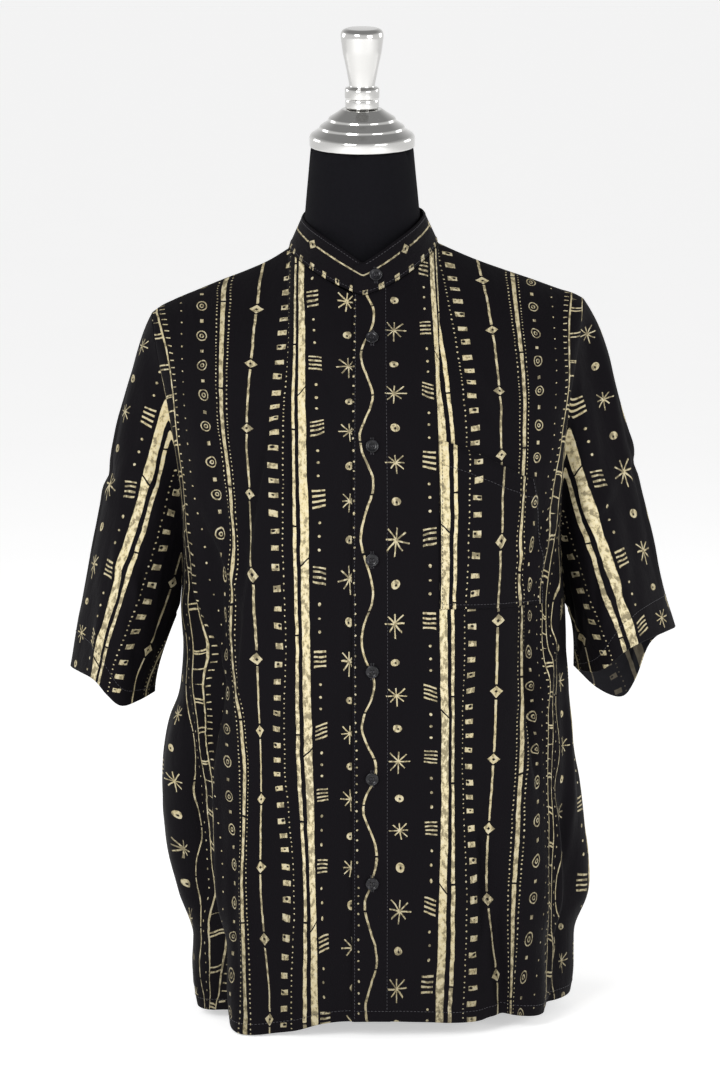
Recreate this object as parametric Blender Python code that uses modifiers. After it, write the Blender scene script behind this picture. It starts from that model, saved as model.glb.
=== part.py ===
"""A short-sleeved band-collar shirt hanging on a limbless torso form.

Metres, +Z up. The form stands on the floor at z = 0 and the shirt front faces -Y, so +X is the
wearer's left side. Every cloth piece is an open surface worked out from the tables below and given
its wall by a Solidify modifier.
"""

import math
from typing import NamedTuple

import bmesh
import bpy
import numpy as np
from mathutils import Vector
from mathutils.bvhtree import BVHTree

# Driving dimensions
WALL = 0.0012
SEAM_GAP = 0.0003
LAYER_STEP = WALL + SEAM_GAP
FORM_GAP = 0.0008
CENTRE_X = 0.008
ARMPIT_Z = 0.395
OVERLAP_UPPER = 0.017
OVERLAP_UNDER = 0.020
NECK_MIDDLE_X = 0.0014
NECK_HALF_X = 0.0709
NECK_POINT_Z = 0.7440
NECK_TILT_Z = 0.0024
NECK_FRONT_Y = -0.082
NECK_FRONT_Z = 0.7010
NECK_BACK_Y = 0.064
NECK_BACK_Z = 0.7540
TIP_Y = 0.012
COLLAR_HEIGHT = 0.0300
COLLAR_CORNER = 0.012
BUTTON_RADIUS = 0.0062
BUTTON_THICKNESS = 0.0026
BUTTON_HEIGHTS = (0.6640, 0.5655, 0.4600, 0.3545, 0.2530, 0.1530)

# Grid of the cloth panels. The pocket takes the front's own rows and columns.
DENSE_ANGLES = 121
ROWS_BELOW = 13
UPPER_SHARES = (0.035, 0.10, 0.19, 0.28, 0.38, 0.49, 0.60, 0.71, 0.81, 0.91, 1.0)
COLS_INNER = 4
COLS_OUTER = 9
POCKET_COLS = 5
POCKET_FIRST_ROW = 1
POCKET_LAST_ROW = 5
SLEEVE_ROWS = 9
COLLAR_COLS = 44


class Section(NamedTuple):
    """One level of the shirt body: half widths to the wearer's right and left, and its depths."""

    z: float
    right: float
    left: float
    front: float
    back: float


class Fold(NamedTuple):
    """One soft vertical fold: its angle at top and bottom, half width, height range and reach outward."""

    top_deg: float
    low_deg: float
    half_deg: float
    top_z: float
    low_z: float
    out: float


class FormRing(NamedTuple):
    """One ring of the form: its height at the sides, front and back, then its half width and depths."""

    side_z: float
    front_z: float
    back_z: float
    half: float
    front: float
    back: float


class HemPoint(NamedTuple):
    """A point of a sleeve hem: its turn from the underarm over the front to the outer fold, then x, y, z."""

    turn: float
    x: float
    y: float
    z: float


BODY_SQUARE = 2.35
BODY = (
    Section(0.000, 0.1610, 0.1965, 0.158, 0.142),
    Section(0.035, 0.1665, 0.2035, 0.160, 0.144),
    Section(0.060, 0.1655, 0.2040, 0.161, 0.145),
    Section(0.082, 0.1655, 0.2050, 0.162, 0.147),
    Section(0.120, 0.1805, 0.2185, 0.164, 0.149),
    Section(0.150, 0.1890, 0.2190, 0.164, 0.150),
    Section(0.180, 0.1925, 0.2150, 0.164, 0.150),
    Section(0.220, 0.1950, 0.2105, 0.163, 0.148),
    Section(0.258, 0.1925, 0.2055, 0.162, 0.147),
    Section(0.284, 0.1870, 0.2035, 0.161, 0.146),
    Section(0.304, 0.1790, 0.2010, 0.160, 0.145),
    Section(0.330, 0.1750, 0.1985, 0.159, 0.144),
    Section(0.360, 0.1735, 0.1960, 0.158, 0.143),
    Section(0.395, 0.1760, 0.1965, 0.157, 0.142),
    Section(0.500, 0.1800, 0.1990, 0.155, 0.140),
)

# Height of the hem round the body, from the centre back by the wearer's right to the front and on
HEM_DEG = (-180, -130, -90, -68, -50, -34, -27, -17, -8, 0, 20, 33, 48, 65, 78, 90, 130, 180)
HEM_Z = (
    *(0.020, 0.024, 0.015, 0.010, 0.0060, 0.0045, 0.0065, 0.0150, 0.0180),
    *(0.0190, 0.0172, 0.0150, 0.0160, 0.013, 0.017, 0.023, 0.024, 0.020),
)

FRONT_FOLDS = (
    Fold(-55, -58, 5.5, 0.560, -0.05, -0.016),
    Fold(-38, -41, 8.5, 0.420, -0.05, 0.018),
    Fold(-72, -68, 7.5, 0.420, -0.05, 0.006),
    Fold(52, 60, 6.0, 0.500, 0.20, -0.012),
    Fold(33, 47, 5.5, 0.240, -0.05, -0.010),
    Fold(66, 68, 5.5, 0.280, -0.05, -0.011),
    Fold(44, 57, 7.0, 0.300, -0.05, 0.007),
    Fold(78, 80, 6.0, 0.300, -0.05, 0.003),
)

BACK_FOLDS = (
    Fold(104, 108, 8.0, 0.480, -0.05, -0.012),
    Fold(124, 126, 9.0, 0.440, -0.05, 0.009),
    Fold(143, 146, 8.0, 0.560, -0.05, -0.012),
    Fold(163, 163, 9.0, 0.360, -0.05, 0.008),
    Fold(184, 181, 8.0, 0.480, -0.05, -0.010),
    Fold(203, 201, 9.0, 0.400, -0.05, 0.009),
    Fold(222, 219, 8.0, 0.540, -0.05, -0.013),
    Fold(242, 240, 8.0, 0.420, -0.05, 0.009),
    Fold(258, 256, 7.0, 0.470, -0.05, -0.011),
)

# The shoulder line outside the neck, on each side: x from the middle and height
SHOULDER_RIGHT_X = (0.0695, 0.0878, 0.1090, 0.1341, 0.1573, 0.1814, 0.1949, 0.2020)
SHOULDER_RIGHT_Z = (0.7416, 0.7303, 0.7206, 0.7109, 0.7012, 0.6910, 0.6842, 0.6790)
SHOULDER_LEFT_X = (0.0723, 0.0886, 0.1099, 0.1359, 0.1648, 0.1918, 0.2053, 0.2130)
SHOULDER_LEFT_Z = (0.7464, 0.7390, 0.7300, 0.7206, 0.7106, 0.7008, 0.6965, 0.6925)

FORM = (
    FormRing(0.000, 0.000, 0.000, 0.112, 0.062, 0.060),
    FormRing(0.004, 0.004, 0.004, 0.117, 0.068, 0.066),
    FormRing(0.018, 0.018, 0.018, 0.128, 0.081, 0.079),
    FormRing(0.042, 0.042, 0.042, 0.139, 0.095, 0.093),
    FormRing(0.085, 0.085, 0.085, 0.147, 0.107, 0.104),
    FormRing(0.150, 0.150, 0.150, 0.148, 0.111, 0.106),
    FormRing(0.220, 0.220, 0.220, 0.144, 0.112, 0.100),
    FormRing(0.290, 0.290, 0.290, 0.146, 0.117, 0.100),
    FormRing(0.360, 0.360, 0.360, 0.151, 0.123, 0.104),
    FormRing(0.430, 0.430, 0.430, 0.158, 0.128, 0.108),
    FormRing(0.500, 0.500, 0.500, 0.164, 0.126, 0.110),
    FormRing(0.560, 0.562, 0.562, 0.167, 0.117, 0.107),
    FormRing(0.605, 0.612, 0.615, 0.168, 0.103, 0.100),
    FormRing(0.640, 0.648, 0.655, 0.167, 0.087, 0.089),
    FormRing(0.672, 0.674, 0.686, 0.163, 0.073, 0.076),
    FormRing(0.6910, 0.692, 0.706, 0.154, 0.064, 0.066),
    FormRing(0.7040, 0.704, 0.718, 0.140, 0.0585, 0.060),
    FormRing(0.7150, 0.713, 0.726, 0.120, 0.0560, 0.0565),
    FormRing(0.7255, 0.720, 0.734, 0.098, 0.0545, 0.0545),
    FormRing(0.7370, 0.727, 0.742, 0.0760, 0.0535, 0.0530),
    FormRing(0.7500, 0.737, 0.751, 0.0615, 0.0530, 0.0520),
    FormRing(0.7660, 0.753, 0.765, 0.0565, 0.0525, 0.0515),
    FormRing(0.7900, 0.780, 0.789, 0.0545, 0.0520, 0.0515),
    FormRing(0.8180, 0.812, 0.820, 0.0515, 0.0505, 0.0505),
    FormRing(0.8400, 0.833, 0.847, 0.0496, 0.0495, 0.0495),
)
FORM_SIDES = 40
FORM_SQUARE = 2.35
SHOULDER_DROP = 0.0040
NECK_LEAN_DEG = 8.0
NECK_TOP_Z = 0.8400

SLEEVE_RIGHT_HEM = (
    HemPoint(0, -0.2029, -0.010, 0.3108),
    HemPoint(30, -0.2167, -0.045, 0.3079),
    HemPoint(60, -0.2318, -0.068, 0.3070),
    HemPoint(90, -0.2449, -0.072, 0.3183),
    HemPoint(120, -0.2582, -0.058, 0.3306),
    HemPoint(150, -0.2730, -0.032, 0.3338),
    HemPoint(180, -0.2838, 0.000, 0.3338),
    HemPoint(210, -0.2825, 0.034, 0.3309),
    HemPoint(240, -0.2737, 0.062, 0.3224),
    HemPoint(270, -0.2589, 0.078, 0.3117),
    HemPoint(300, -0.2380, 0.076, 0.3056),
    HemPoint(330, -0.2160, 0.044, 0.3066),
    HemPoint(360, -0.2029, -0.010, 0.3108),
)
SLEEVE_LEFT_HEM = (
    HemPoint(0, 0.2080, 0.008, 0.3330),
    HemPoint(30, 0.2167, -0.024, 0.3330),
    HemPoint(60, 0.2290, -0.052, 0.3380),
    HemPoint(90, 0.2410, -0.068, 0.3500),
    HemPoint(120, 0.2570, -0.068, 0.3630),
    HemPoint(150, 0.2810, -0.044, 0.3700),
    HemPoint(180, 0.3045, 0.000, 0.3724),
    HemPoint(210, 0.3000, 0.036, 0.3650),
    HemPoint(240, 0.2840, 0.058, 0.3470),
    HemPoint(270, 0.2710, 0.064, 0.3110),
    HemPoint(300, 0.2576, 0.056, 0.2950),
    HemPoint(330, 0.2333, 0.042, 0.3056),
    HemPoint(360, 0.2080, 0.008, 0.3330),
)
SLEEVE_RIGHT_RUN = (-0.20, 0.0, -0.98)
SLEEVE_LEFT_RUN = (0.30, 0.0, -0.95)
SLEEVE_RIGHT_SPREAD = 0.024
SLEEVE_LEFT_SPREAD = 0.029


def clear_scene():
    """Remove the scene's objects, so the model starts empty."""
    for obj in list(bpy.data.objects):
        bpy.data.objects.remove(obj)


def material(name, colour, roughness, metallic=0.0):
    """A Principled material with one colour, roughness and metallic value."""
    made = bpy.data.materials.new(name)
    made.use_nodes = True
    shader = made.node_tree.nodes["Principled BSDF"]
    shader.inputs["Base Color"].default_value = (*colour, 1.0)
    shader.inputs["Roughness"].default_value = roughness
    shader.inputs["Metallic"].default_value = metallic
    made.diffuse_color = (*colour, 1.0)
    return made


def smooth(at, knots, values):
    """Hermite curve through the table's points, held level past its ends."""
    knots = np.asarray(knots, float)
    values = np.asarray(values, float)
    slopes = np.gradient(values, knots)
    at = np.clip(np.asarray(at, float), knots[0], knots[-1])
    i = np.clip(np.searchsorted(knots, at, side="right") - 1, 0, len(knots) - 2)
    step = knots[i + 1] - knots[i]
    f = (at - knots[i]) / step
    rise = values[i] * (1 + 2 * f) * (1 - f) ** 2 + values[i + 1] * f**2 * (3 - 2 * f)
    bend = step * (slopes[i] * f * (1 - f) ** 2 - slopes[i + 1] * f**2 * (1 - f))
    return rise + bend


def ease(f):
    """Smooth step from 0 to 1."""
    f = np.clip(f, 0.0, 1.0)
    return f * f * (3 - 2 * f)


def unit(vectors):
    """The vectors at length 1."""
    vectors = np.asarray(vectors, float)
    return vectors / np.linalg.norm(vectors, axis=-1, keepdims=True)


def column(name):
    """One named column of the body table."""
    return [getattr(row, name) for row in BODY]


def body_ring(angle, z):
    """Points of the unfolded shirt body at these angles from the centre front and these heights."""
    levels = column("z")
    side = np.where(np.sin(angle) > 0, smooth(z, levels, column("left")), smooth(z, levels, column("right")))
    depth = np.where(np.cos(angle) > 0, smooth(z, levels, column("front")), smooth(z, levels, column("back")))
    flat = np.abs(np.cos(angle) / depth) ** BODY_SQUARE + np.abs(np.sin(angle) / side) ** BODY_SQUARE
    reach = flat ** (-1 / BODY_SQUARE)
    return np.stack([CENTRE_X * np.cos(angle) + reach * np.sin(angle), -reach * np.cos(angle), z + 0 * angle], -1)


def neckline(turn):
    """The neck seam at a turn from the centre front: the front dips, and the back stands a little higher."""
    fore = np.cos(turn) > 0
    lean = np.abs(np.cos(turn)) ** np.where(fore, 1.15, 0.8)
    y = np.where(fore, NECK_FRONT_Y, NECK_BACK_Y) * lean
    point = NECK_POINT_Z + NECK_TILT_Z * np.sin(turn)
    z = point + (np.where(fore, NECK_FRONT_Z, NECK_BACK_Z) - point) * lean
    return np.stack([NECK_MIDDLE_X + NECK_HALF_X * np.sin(turn), y, z], -1)


def top_edge(x, side, front):
    """Where each point of the armpit ring ends at the top: on the neckline, or on the shoulder seam."""
    neck_x = abs(NECK_MIDDLE_X + side * NECK_HALF_X)
    turn = np.arcsin(np.clip((x - NECK_MIDDLE_X) / NECK_HALF_X, -1, 1))
    neck = neckline(turn if front else math.pi - turn)
    knots, heights = (SHOULDER_LEFT_X, SHOULDER_LEFT_Z) if side > 0 else (SHOULDER_RIGHT_X, SHOULDER_RIGHT_Z)
    share = (np.abs(x) - neck_x) / (np.max(np.abs(x)) - neck_x)
    reach = neck_x + np.clip(share, 0, 1) * (knots[-1] - neck_x)
    seam = np.stack([side * reach, TIP_Y * ease(share), smooth(reach, knots, heights)], -1)
    return np.where((share > 0)[:, None], seam, neck)


def upper_rows(ring, front, shares):
    """Rows from the armpit ring up to the neckline and shoulder seam, each column a Bezier curve."""
    x = ring[:, 0]
    half = len(x) // 2
    top = np.concatenate([top_edge(x[:half], -1, front), top_edge(x[half:], 1, front)])
    way = -1.0 if front else 1.0
    outness = np.clip(np.abs(x - CENTRE_X * 0.5) / 0.19, 0, 1)
    neck_share = np.sqrt(np.clip(1 - ((x - NECK_MIDDLE_X) / NECK_HALF_X) ** 2, 0, 1))
    beyond = ease((np.abs(x) - NECK_HALF_X) / 0.06)
    rise = top[:, 2] - ring[:, 2]
    edge = outness**6
    inward = -np.sign(x) * 0.022 * edge
    first = ring + np.stack([inward, way * (0.004 + 0.046 * edge), rise * 0.46], -1)
    slope = 0.042 - 0.008 * beyond if front else 0.014 + 0.020 * beyond
    lean_z = -(slope + (0.034 if front else 0.062) * neck_share - 0.012 * outness**4)
    second = top + np.stack([0 * x, way * (0.082 - 0.030 * neck_share), lean_z], -1)
    rows = []
    for share in shares:
        f = share - 0.070 * np.sin(math.pi * share) ** 2 * ease((outness - 0.35) / 0.55)
        f = f[:, None]
        rows.append((1 - f) ** 3 * ring + 3 * (1 - f) ** 2 * f * first + 3 * (1 - f) * f**2 * second + f**3 * top)
    return np.array(rows)


def fold_shift(angle_deg, z, folds):
    """How far the folds move the cloth outward at an angle and height."""
    shift = np.zeros(np.broadcast(angle_deg, z).shape)
    for fold in folds:
        share = np.clip((fold.top_z - z) / (fold.top_z - fold.low_z), 0, 1)
        middle = fold.top_deg + (fold.low_deg - fold.top_deg) * share
        swell = ease(share / 0.45)
        if fold.low_z > 0:
            swell = swell * ease((1 - share) / 0.35)
        shift += fold.out * swell * np.exp(-(((angle_deg - middle) / fold.half_deg) ** 2))
    return shift


def normals_of(grid):
    """Unit normals of a grid of points, outward when its columns run from the wearer's right over the front."""
    across = np.gradient(grid, axis=1)
    along = np.gradient(grid, axis=0)
    return unit(np.cross(across, along))


def master(front, rows_below, upper_shares):
    """Dense grid of the front or back, rows from hem to top, columns anticlockwise seen from above."""
    first, last = (-90, 90) if front else (90, 270)
    degrees = np.linspace(first, last, DENSE_ANGLES)
    angle = np.radians(degrees)
    wrapped = np.where(degrees > 180, degrees - 360, degrees)
    hem = smooth(wrapped, HEM_DEG, HEM_Z)
    lower = []
    for share in np.linspace(0, 1, rows_below + 1):
        lower.append(body_ring(angle, hem + (ARMPIT_Z - hem) * share))
    lower = np.array(lower)
    if front:
        upper = upper_rows(lower[-1], True, upper_shares)
    else:
        upper = upper_rows(lower[-1][::-1], False, upper_shares)[:, ::-1]
    grid = np.concatenate([lower, upper])
    folds = FRONT_FOLDS if front else BACK_FOLDS
    shift = fold_shift(np.broadcast_to(degrees, grid.shape[:2]), grid[:, :, 2], folds)
    edge = np.minimum(degrees - first, last - degrees)
    return grid + normals_of(grid) * (shift * ease(edge / 9.0))[:, :, None]


def arc_lengths(row):
    """Distance along a row of points, from its first point."""
    return np.concatenate([[0], np.cumsum(np.linalg.norm(np.diff(row, axis=0), axis=1))])


def resample(row, wanted):
    """Points of a row at the wanted distances from its first point."""
    lengths = arc_lengths(row)
    return np.stack([np.interp(wanted, lengths, row[:, k]) for k in range(3)], -1)


def neck_column(armpit_row, side):
    """Index of the dense column that runs up to the neck point on one side."""
    return int(np.argmin(np.abs(armpit_row[:, 0] - NECK_MIDDLE_X - side * NECK_HALF_X)))


def front_panel(side, rows_below, upper_shares, inner, outer):
    """Grid of one front: columns from its free edge to its side seam, the first three shared by both fronts."""
    grid = master(True, rows_below, upper_shares)
    middle = DENSE_ANGLES // 2
    neck = neck_column(grid[rows_below], side)
    rows = []
    for row in grid:
        lengths = arc_lengths(row)
        band = lengths[middle] + np.array([-OVERLAP_UPPER, OVERLAP_UNDER - OVERLAP_UPPER, OVERLAP_UNDER])[::side]
        stop = (lengths[-1] if side > 0 else 0.0) - side * SEAM_GAP / 2
        inside = np.linspace(band[-1], lengths[neck], inner - 1)[1:-1]
        outside = np.linspace(lengths[neck], stop, outer + 1)
        rows.append(resample(row, np.concatenate([band, inside, outside])))
    return trim_top(np.array(rows))


def back_panel(rows_below, upper_shares, inner, outer):
    """Grid of the back: columns from the wearer's left side seam round to the right one."""
    grid = master(False, rows_below, upper_shares)
    neck_left = neck_column(grid[rows_below], 1)
    neck_right = neck_column(grid[rows_below], -1)
    rows = []
    for row in grid:
        lengths = arc_lengths(row)
        left = np.linspace(SEAM_GAP / 2, lengths[neck_left], outer + 1)[:-1]
        middle = np.linspace(lengths[neck_left], lengths[neck_right], 2 * inner + 1)[:-1]
        right = np.linspace(lengths[neck_right], lengths[-1] - SEAM_GAP / 2, outer + 1)
        rows.append(resample(row, np.concatenate([left, middle, right])))
    return trim_top(np.array(rows))


def trim_top(grid):
    """Draw the top row back by a seam gap, so that it stays clear of what it is sewn to."""
    grid = grid.copy()
    grid[-1] -= unit(grid[-1] - grid[-2]) * SEAM_GAP
    return grid


def tuck_under(grid):
    """Move the under front in by one layer where the upper front lies on it."""
    lengths = np.linalg.norm(np.diff(grid, axis=1), axis=2).cumsum(axis=1)
    across = np.concatenate([np.zeros((len(grid), 1)), lengths], axis=1)
    share = 1 - ease((across - OVERLAP_UNDER - OVERLAP_UPPER - 0.004) / 0.030)
    return grid + normals_of(grid) * (share * (LAYER_STEP + SEAM_GAP))[:, :, None]


def mesh_object(name, points, faces, finish, where):
    """A mesh object from points and faces, linked to a collection."""
    mesh = bpy.data.meshes.new(name)
    mesh.from_pydata([tuple(p) for p in points], [], [tuple(f) for f in faces])
    mesh.update()
    mesh.materials.append(finish)
    obj = bpy.data.objects.new(name, mesh)
    where.objects.link(obj)
    return obj


def grid_faces(rows, columns, closed):
    """Quads of a grid, closed round its columns if asked."""
    faces = []
    for i in range(rows - 1):
        for j in range(columns if closed else columns - 1):
            k = (j + 1) % columns
            faces.append((i * columns + j, i * columns + k, (i + 1) * columns + k, (i + 1) * columns + j))
    return faces


def add_cloth(name, grid, finish, where, closed=False, flip=False, wall=WALL):
    """A cloth piece: an open sheet through the grid, with its wall on the outer side."""
    rows, columns = grid.shape[:2]
    faces = grid_faces(rows, columns, closed)
    if flip:
        faces = [tuple(reversed(face)) for face in faces]
    obj = mesh_object(name, grid.reshape(-1, 3), faces, finish, where)
    skin = obj.modifiers.new("Wall", "SOLIDIFY")
    skin.thickness = wall
    skin.offset = 1.0
    obj.data.shade_smooth()
    return obj


def armhole(side, front, back, rows_below):
    """The armhole from the armpit up the front and down the back: points, ways out, and panel normals."""
    front_normal = normals_of(front)[rows_below:, -1] * side
    back_at, beside = (0, 1) if side > 0 else (-1, -2)
    back_normal = normals_of(back)[rows_below:, back_at]
    front_edge = front[rows_below:, -1]
    back_edge = back[rows_below:, back_at]
    front_way = unit(front_edge - front[rows_below:, -2])
    back_way = unit(back_edge - back[rows_below:, beside])
    tip = (front_edge[-1] + back_edge[-1]) / 2
    pit = (front_edge[0] + back_edge[0]) / 2
    out = np.array([side * 1.0, 0.0, 0.0])
    down = unit(np.array([side * 0.87, 0.0, -0.49]))
    up = unit(np.array([side * 0.49, 0.0, 0.87]))
    loop = np.concatenate([[pit], front_edge[1:-1], [tip], back_edge[1:-1][::-1]])
    ways = np.concatenate([[np.array([0.0, 0.0, 1.0])], front_way[1:-1], [down], back_way[1:-1][::-1]])
    normals = np.concatenate([[out], front_normal[1:-1], [up], back_normal[1:-1][::-1]])
    return loop, ways, normals


def sleeve_grid(side, hem_table, run, spread, loop, ways, normals, rows):
    """Rings of a sleeve: each column a Bezier from its armhole point to the hem ring."""
    turn = np.linspace(0, 360, len(loop) + 1)[:-1]
    turns = [row.turn for row in hem_table]
    hem = np.stack([smooth(turn, turns, [getattr(row, k) for row in hem_table]) for k in ("x", "y", "z")], -1)
    low = (1 + np.cos(np.radians(turn)))[:, None] / 2
    fore = np.sin(np.radians(turn))[:, None]
    run_here = unit(np.array(run) * (1 - low**2) + np.array([0.0, 0.0, -1.0]) * low**2)
    length = np.linalg.norm(hem - loop, axis=1)[:, None]
    leave = np.where(low > 0.93, np.array([side * 0.75, 0.0, -0.66]), ways)
    leave = unit(leave + np.array([side * 0.9, 0.0, -0.3]) * low**2)
    first = loop + leave * (spread - 0.014 * low) + run_here * length * 0.10
    first = first + np.array([0.0, -0.006, 0.0]) * fore
    second = hem - run_here * length * (0.42 - 0.12 * low)
    edge = unit(np.roll(loop, -1, axis=0) - np.roll(loop, 1, axis=0))
    toward = 0.25 * (first - loop) + 0.05 * (second - loop)
    toward = unit(toward - np.sum(toward * edge, axis=1, keepdims=True) * edge)
    bend = np.clip(np.sum(toward * normals, axis=1, keepdims=True), 0, 1)
    start = loop + ways * (SEAM_GAP * 1.5 + 2 * WALL * bend) + normals * (WALL + LAYER_STEP) * low**3
    grid = []
    for f in np.linspace(0, 1, rows):
        grid.append((1 - f) ** 3 * start + 3 * (1 - f) ** 2 * f * first + 3 * (1 - f) * f**2 * second + f**3 * hem)
    return np.array(grid)


def collar_grid(columns):
    """Grid of the collar band, from its upper end in front round the neck to its under end."""
    turns = np.linspace(-0.6, 2 * math.pi + 0.6, 961)
    loop = neckline(turns)
    lengths = arc_lengths(loop)
    start = np.interp(0.0, turns, lengths) + CENTRE_X - NECK_MIDDLE_X - OVERLAP_UPPER
    stop = np.interp(2 * math.pi, turns, lengths) + CENTRE_X - NECK_MIDDLE_X + OVERLAP_UNDER - 0.006
    wanted = np.linspace(start, stop, columns + 1)
    base = resample(loop, wanted)
    inward = unit(np.stack([-base[:, 0], -base[:, 1] * 1.1, 0 * base[:, 0]], -1))
    sideways = np.abs(base[:, 0]) / NECK_HALF_X
    lean = (0.33 + 0.14 * sideways**2)[:, None]
    up = unit(np.array([0, 0, 1.0]) + inward * lean)
    from_end = np.minimum(wanted - start, stop - wanted)
    notch = np.clip(COLLAR_CORNER - from_end, 0, COLLAR_CORNER)
    height = COLLAR_HEIGHT - COLLAR_CORNER + np.sqrt(COLLAR_CORNER**2 - notch**2)
    covered = ease((wanted - stop + OVERLAP_UPPER + OVERLAP_UNDER + 0.028) / 0.028)
    base = base + inward * (covered * (LAYER_STEP + SEAM_GAP))[:, None]
    rows = []
    for f in (0.0, 0.34, 0.67, 1.0):
        rows.append(base + up * (LAYER_STEP + SEAM_GAP + height * f)[:, None])
    return np.array(rows)


def surface_point(grid, distance, z):
    """A point and outward normal on the front grid, at a distance from its free edge and a height."""
    heights = grid[:, 0, 2]
    i = int(np.clip(np.searchsorted(heights, z) - 1, 0, len(heights) - 2))
    f = (z - heights[i]) / (heights[i + 1] - heights[i])
    row = grid[i] * (1 - f) + grid[i + 1] * f
    lengths = arc_lengths(row)
    point = resample(row, np.array([distance]))[0]
    j = int(np.clip(np.searchsorted(lengths, distance) - 1, 0, len(row) - 2))
    return point, unit(np.cross(row[j + 1] - row[j], grid[i + 1, j] - grid[i, j]))


def pocket_grid(panel, rows_below):
    """Grid of the chest pocket: the front's own points moved out by one layer, slack at its open top."""
    first = rows_below + POCKET_FIRST_ROW
    last = rows_below + POCKET_LAST_ROW
    side = COLS_INNER + POCKET_COLS
    part = panel[first : last + 1, COLS_INNER : side + 1]
    normal = normals_of(panel)[first : last + 1, COLS_INNER : side + 1]
    rows, columns = part.shape[:2]
    up = np.linspace(0, 1, rows)[:, None]
    out = np.linspace(0, 1, columns)[None, :]
    slack = 0.0030 * np.sin(math.pi * out) * up**2
    return part + normal * (LAYER_STEP + SEAM_GAP + slack)[:, :, None]


def turn_to(obj, normal, point):
    """Turn an object's +Z to a direction and set it at a point."""
    obj.rotation_mode = "QUATERNION"
    obj.rotation_quaternion = Vector((0, 0, 1)).rotation_difference(Vector(normal))
    obj.location = point


def turned(name, profile, sides, finish, where):
    """A turned solid: a profile of radius and height, outer side running top to bottom."""
    points = [(radius, 0.0, height) for radius, height in profile]
    mesh = bpy.data.meshes.new(name)
    mesh.from_pydata(points, [(i, i + 1) for i in range(len(points) - 1)], [])
    mesh.materials.append(finish)
    obj = bpy.data.objects.new(name, mesh)
    where.objects.link(obj)
    spin = obj.modifiers.new("Turn", "SCREW")
    spin.steps = sides
    spin.render_steps = sides
    spin.use_merge_vertices = True
    spin.merge_threshold = 0.00005
    spin.use_smooth_shade = True
    return obj


def button_profile():
    """Half section of a button: a raised rim round a dished middle, and a flat back."""
    radius, thick = BUTTON_RADIUS, BUTTON_THICKNESS
    return [
        (0.0, thick * 0.62),
        (radius * 0.62, thick * 0.62),
        (radius * 0.78, thick),
        (radius * 0.93, thick * 0.94),
        (radius, thick * 0.60),
        (radius * 0.90, 0.0),
        (0.0, 0.0),
    ]


def add_buttons(panel, collar, finish, where):
    """Buttons down the upper front, and one on the collar band."""
    across = OVERLAP_UPPER + 0.0015
    for number, z in enumerate(BUTTON_HEIGHTS, start=1):
        point, normal = surface_point(panel, across, z)
        obj = turned(f"button_{number}", button_profile(), 14, finish, where)
        turn_to(obj, normal, point + normal * (LAYER_STEP + SEAM_GAP))
    base, top = collar[0], collar[-1]
    middle = base[2] * 0.55 + top[2] * 0.45
    normal = unit(np.cross(base[3] - base[2], top[2] - base[2]))
    obj = turned("button_collar", button_profile(), 14, finish, where)
    turn_to(obj, normal, middle + normal * (LAYER_STEP + SEAM_GAP))


def form_rings():
    """Rings of the form, each a rounded square in plan whose height changes between sides and middle."""
    turn = np.linspace(0, 2 * math.pi, FORM_SIDES + 1)[:-1]
    rings = []
    for row in FORM:
        depth = np.where(np.cos(turn) > 0, row.front, row.back)
        power = FORM_SQUARE if row.half > 0.07 else 2.0
        flat = np.abs(np.cos(turn) / depth) ** power + np.abs(np.sin(turn) / row.half) ** power
        reach = flat ** (-1 / power)
        level = np.where(np.cos(turn) > 0, row.front_z, row.back_z)
        share = np.abs(np.cos(turn)) if row.half < 0.06 else np.cos(turn) ** 2
        z = row.side_z + (level - row.side_z) * share
        z = z + SHOULDER_DROP * np.sin(turn) * ease((z - 0.50) / 0.12) * ease((0.79 - z) / 0.05)
        rings.append(np.stack([reach * np.sin(turn), -reach * np.cos(turn), z], -1))
    return np.array(rings)


def fit_inside(points, faces, cloth_names):
    """Draw the form's points in wherever they would come nearer to the cloth than the form gap."""
    graph = bpy.context.evaluated_depsgraph_get()
    trees = [BVHTree.FromObject(bpy.data.objects[name], graph) for name in cloth_names]
    eyes = [Vector((0.0, 0.0, min(p[2], 0.60))) for p in points]
    ways = [Vector(p) - eye for p, eye in zip(points, eyes)]
    reach = [way.length for way in ways]
    for k, (eye, way) in enumerate(zip(eyes, ways)):
        way.normalize()
        for tree in trees:
            hit = tree.ray_cast(eye, way)
            if hit[0] is not None:
                facing = max(abs(hit[1].dot(way)), 0.3)
                reach[k] = min(reach[k], (hit[0] - eye).length - FORM_GAP / facing)
    halves = [half for a, b, c, d in faces for half in ((a, b, c), (a, c, d), (a, b, d), (b, c, d))]
    for _ in range(24):
        placed = [eye + way * far for eye, way, far in zip(eyes, ways, reach)]
        skin = BVHTree.FromPolygons(placed, halves)
        touched = {k for tree in trees for pair in skin.overlap(tree) for k in halves[pair[0]]}
        near = {
            k
            for k, point in enumerate(placed)
            if point.z > 0.6 and any(tree.find_nearest(point)[3] < FORM_GAP * 0.6 for tree in trees)
        }
        if not touched | near:
            break
        for k in touched | near:
            reach[k] -= 0.0005
    return np.array([tuple(point) for point in placed])


def add_form(cloth_names, finish, where):
    """The form: one closed skin through its rings, flat at the foot and at the top of the neck."""
    rings = form_rings()
    count = rings.shape[1]
    faces = grid_faces(len(rings), count, True)
    points = fit_inside(rings.reshape(-1, 3), faces, cloth_names)
    faces.append(tuple(reversed(range(count))))
    top = (len(rings) - 1) * count
    faces.append(tuple(range(top, top + count)))
    obj = mesh_object("form", points, faces, finish, where)
    shape = bmesh.new()
    shape.from_mesh(obj.data)
    bmesh.ops.recalc_face_normals(shape, faces=shape.faces)
    shape.to_mesh(obj.data)
    shape.free()
    obj.data.shade_smooth()
    return obj


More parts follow.
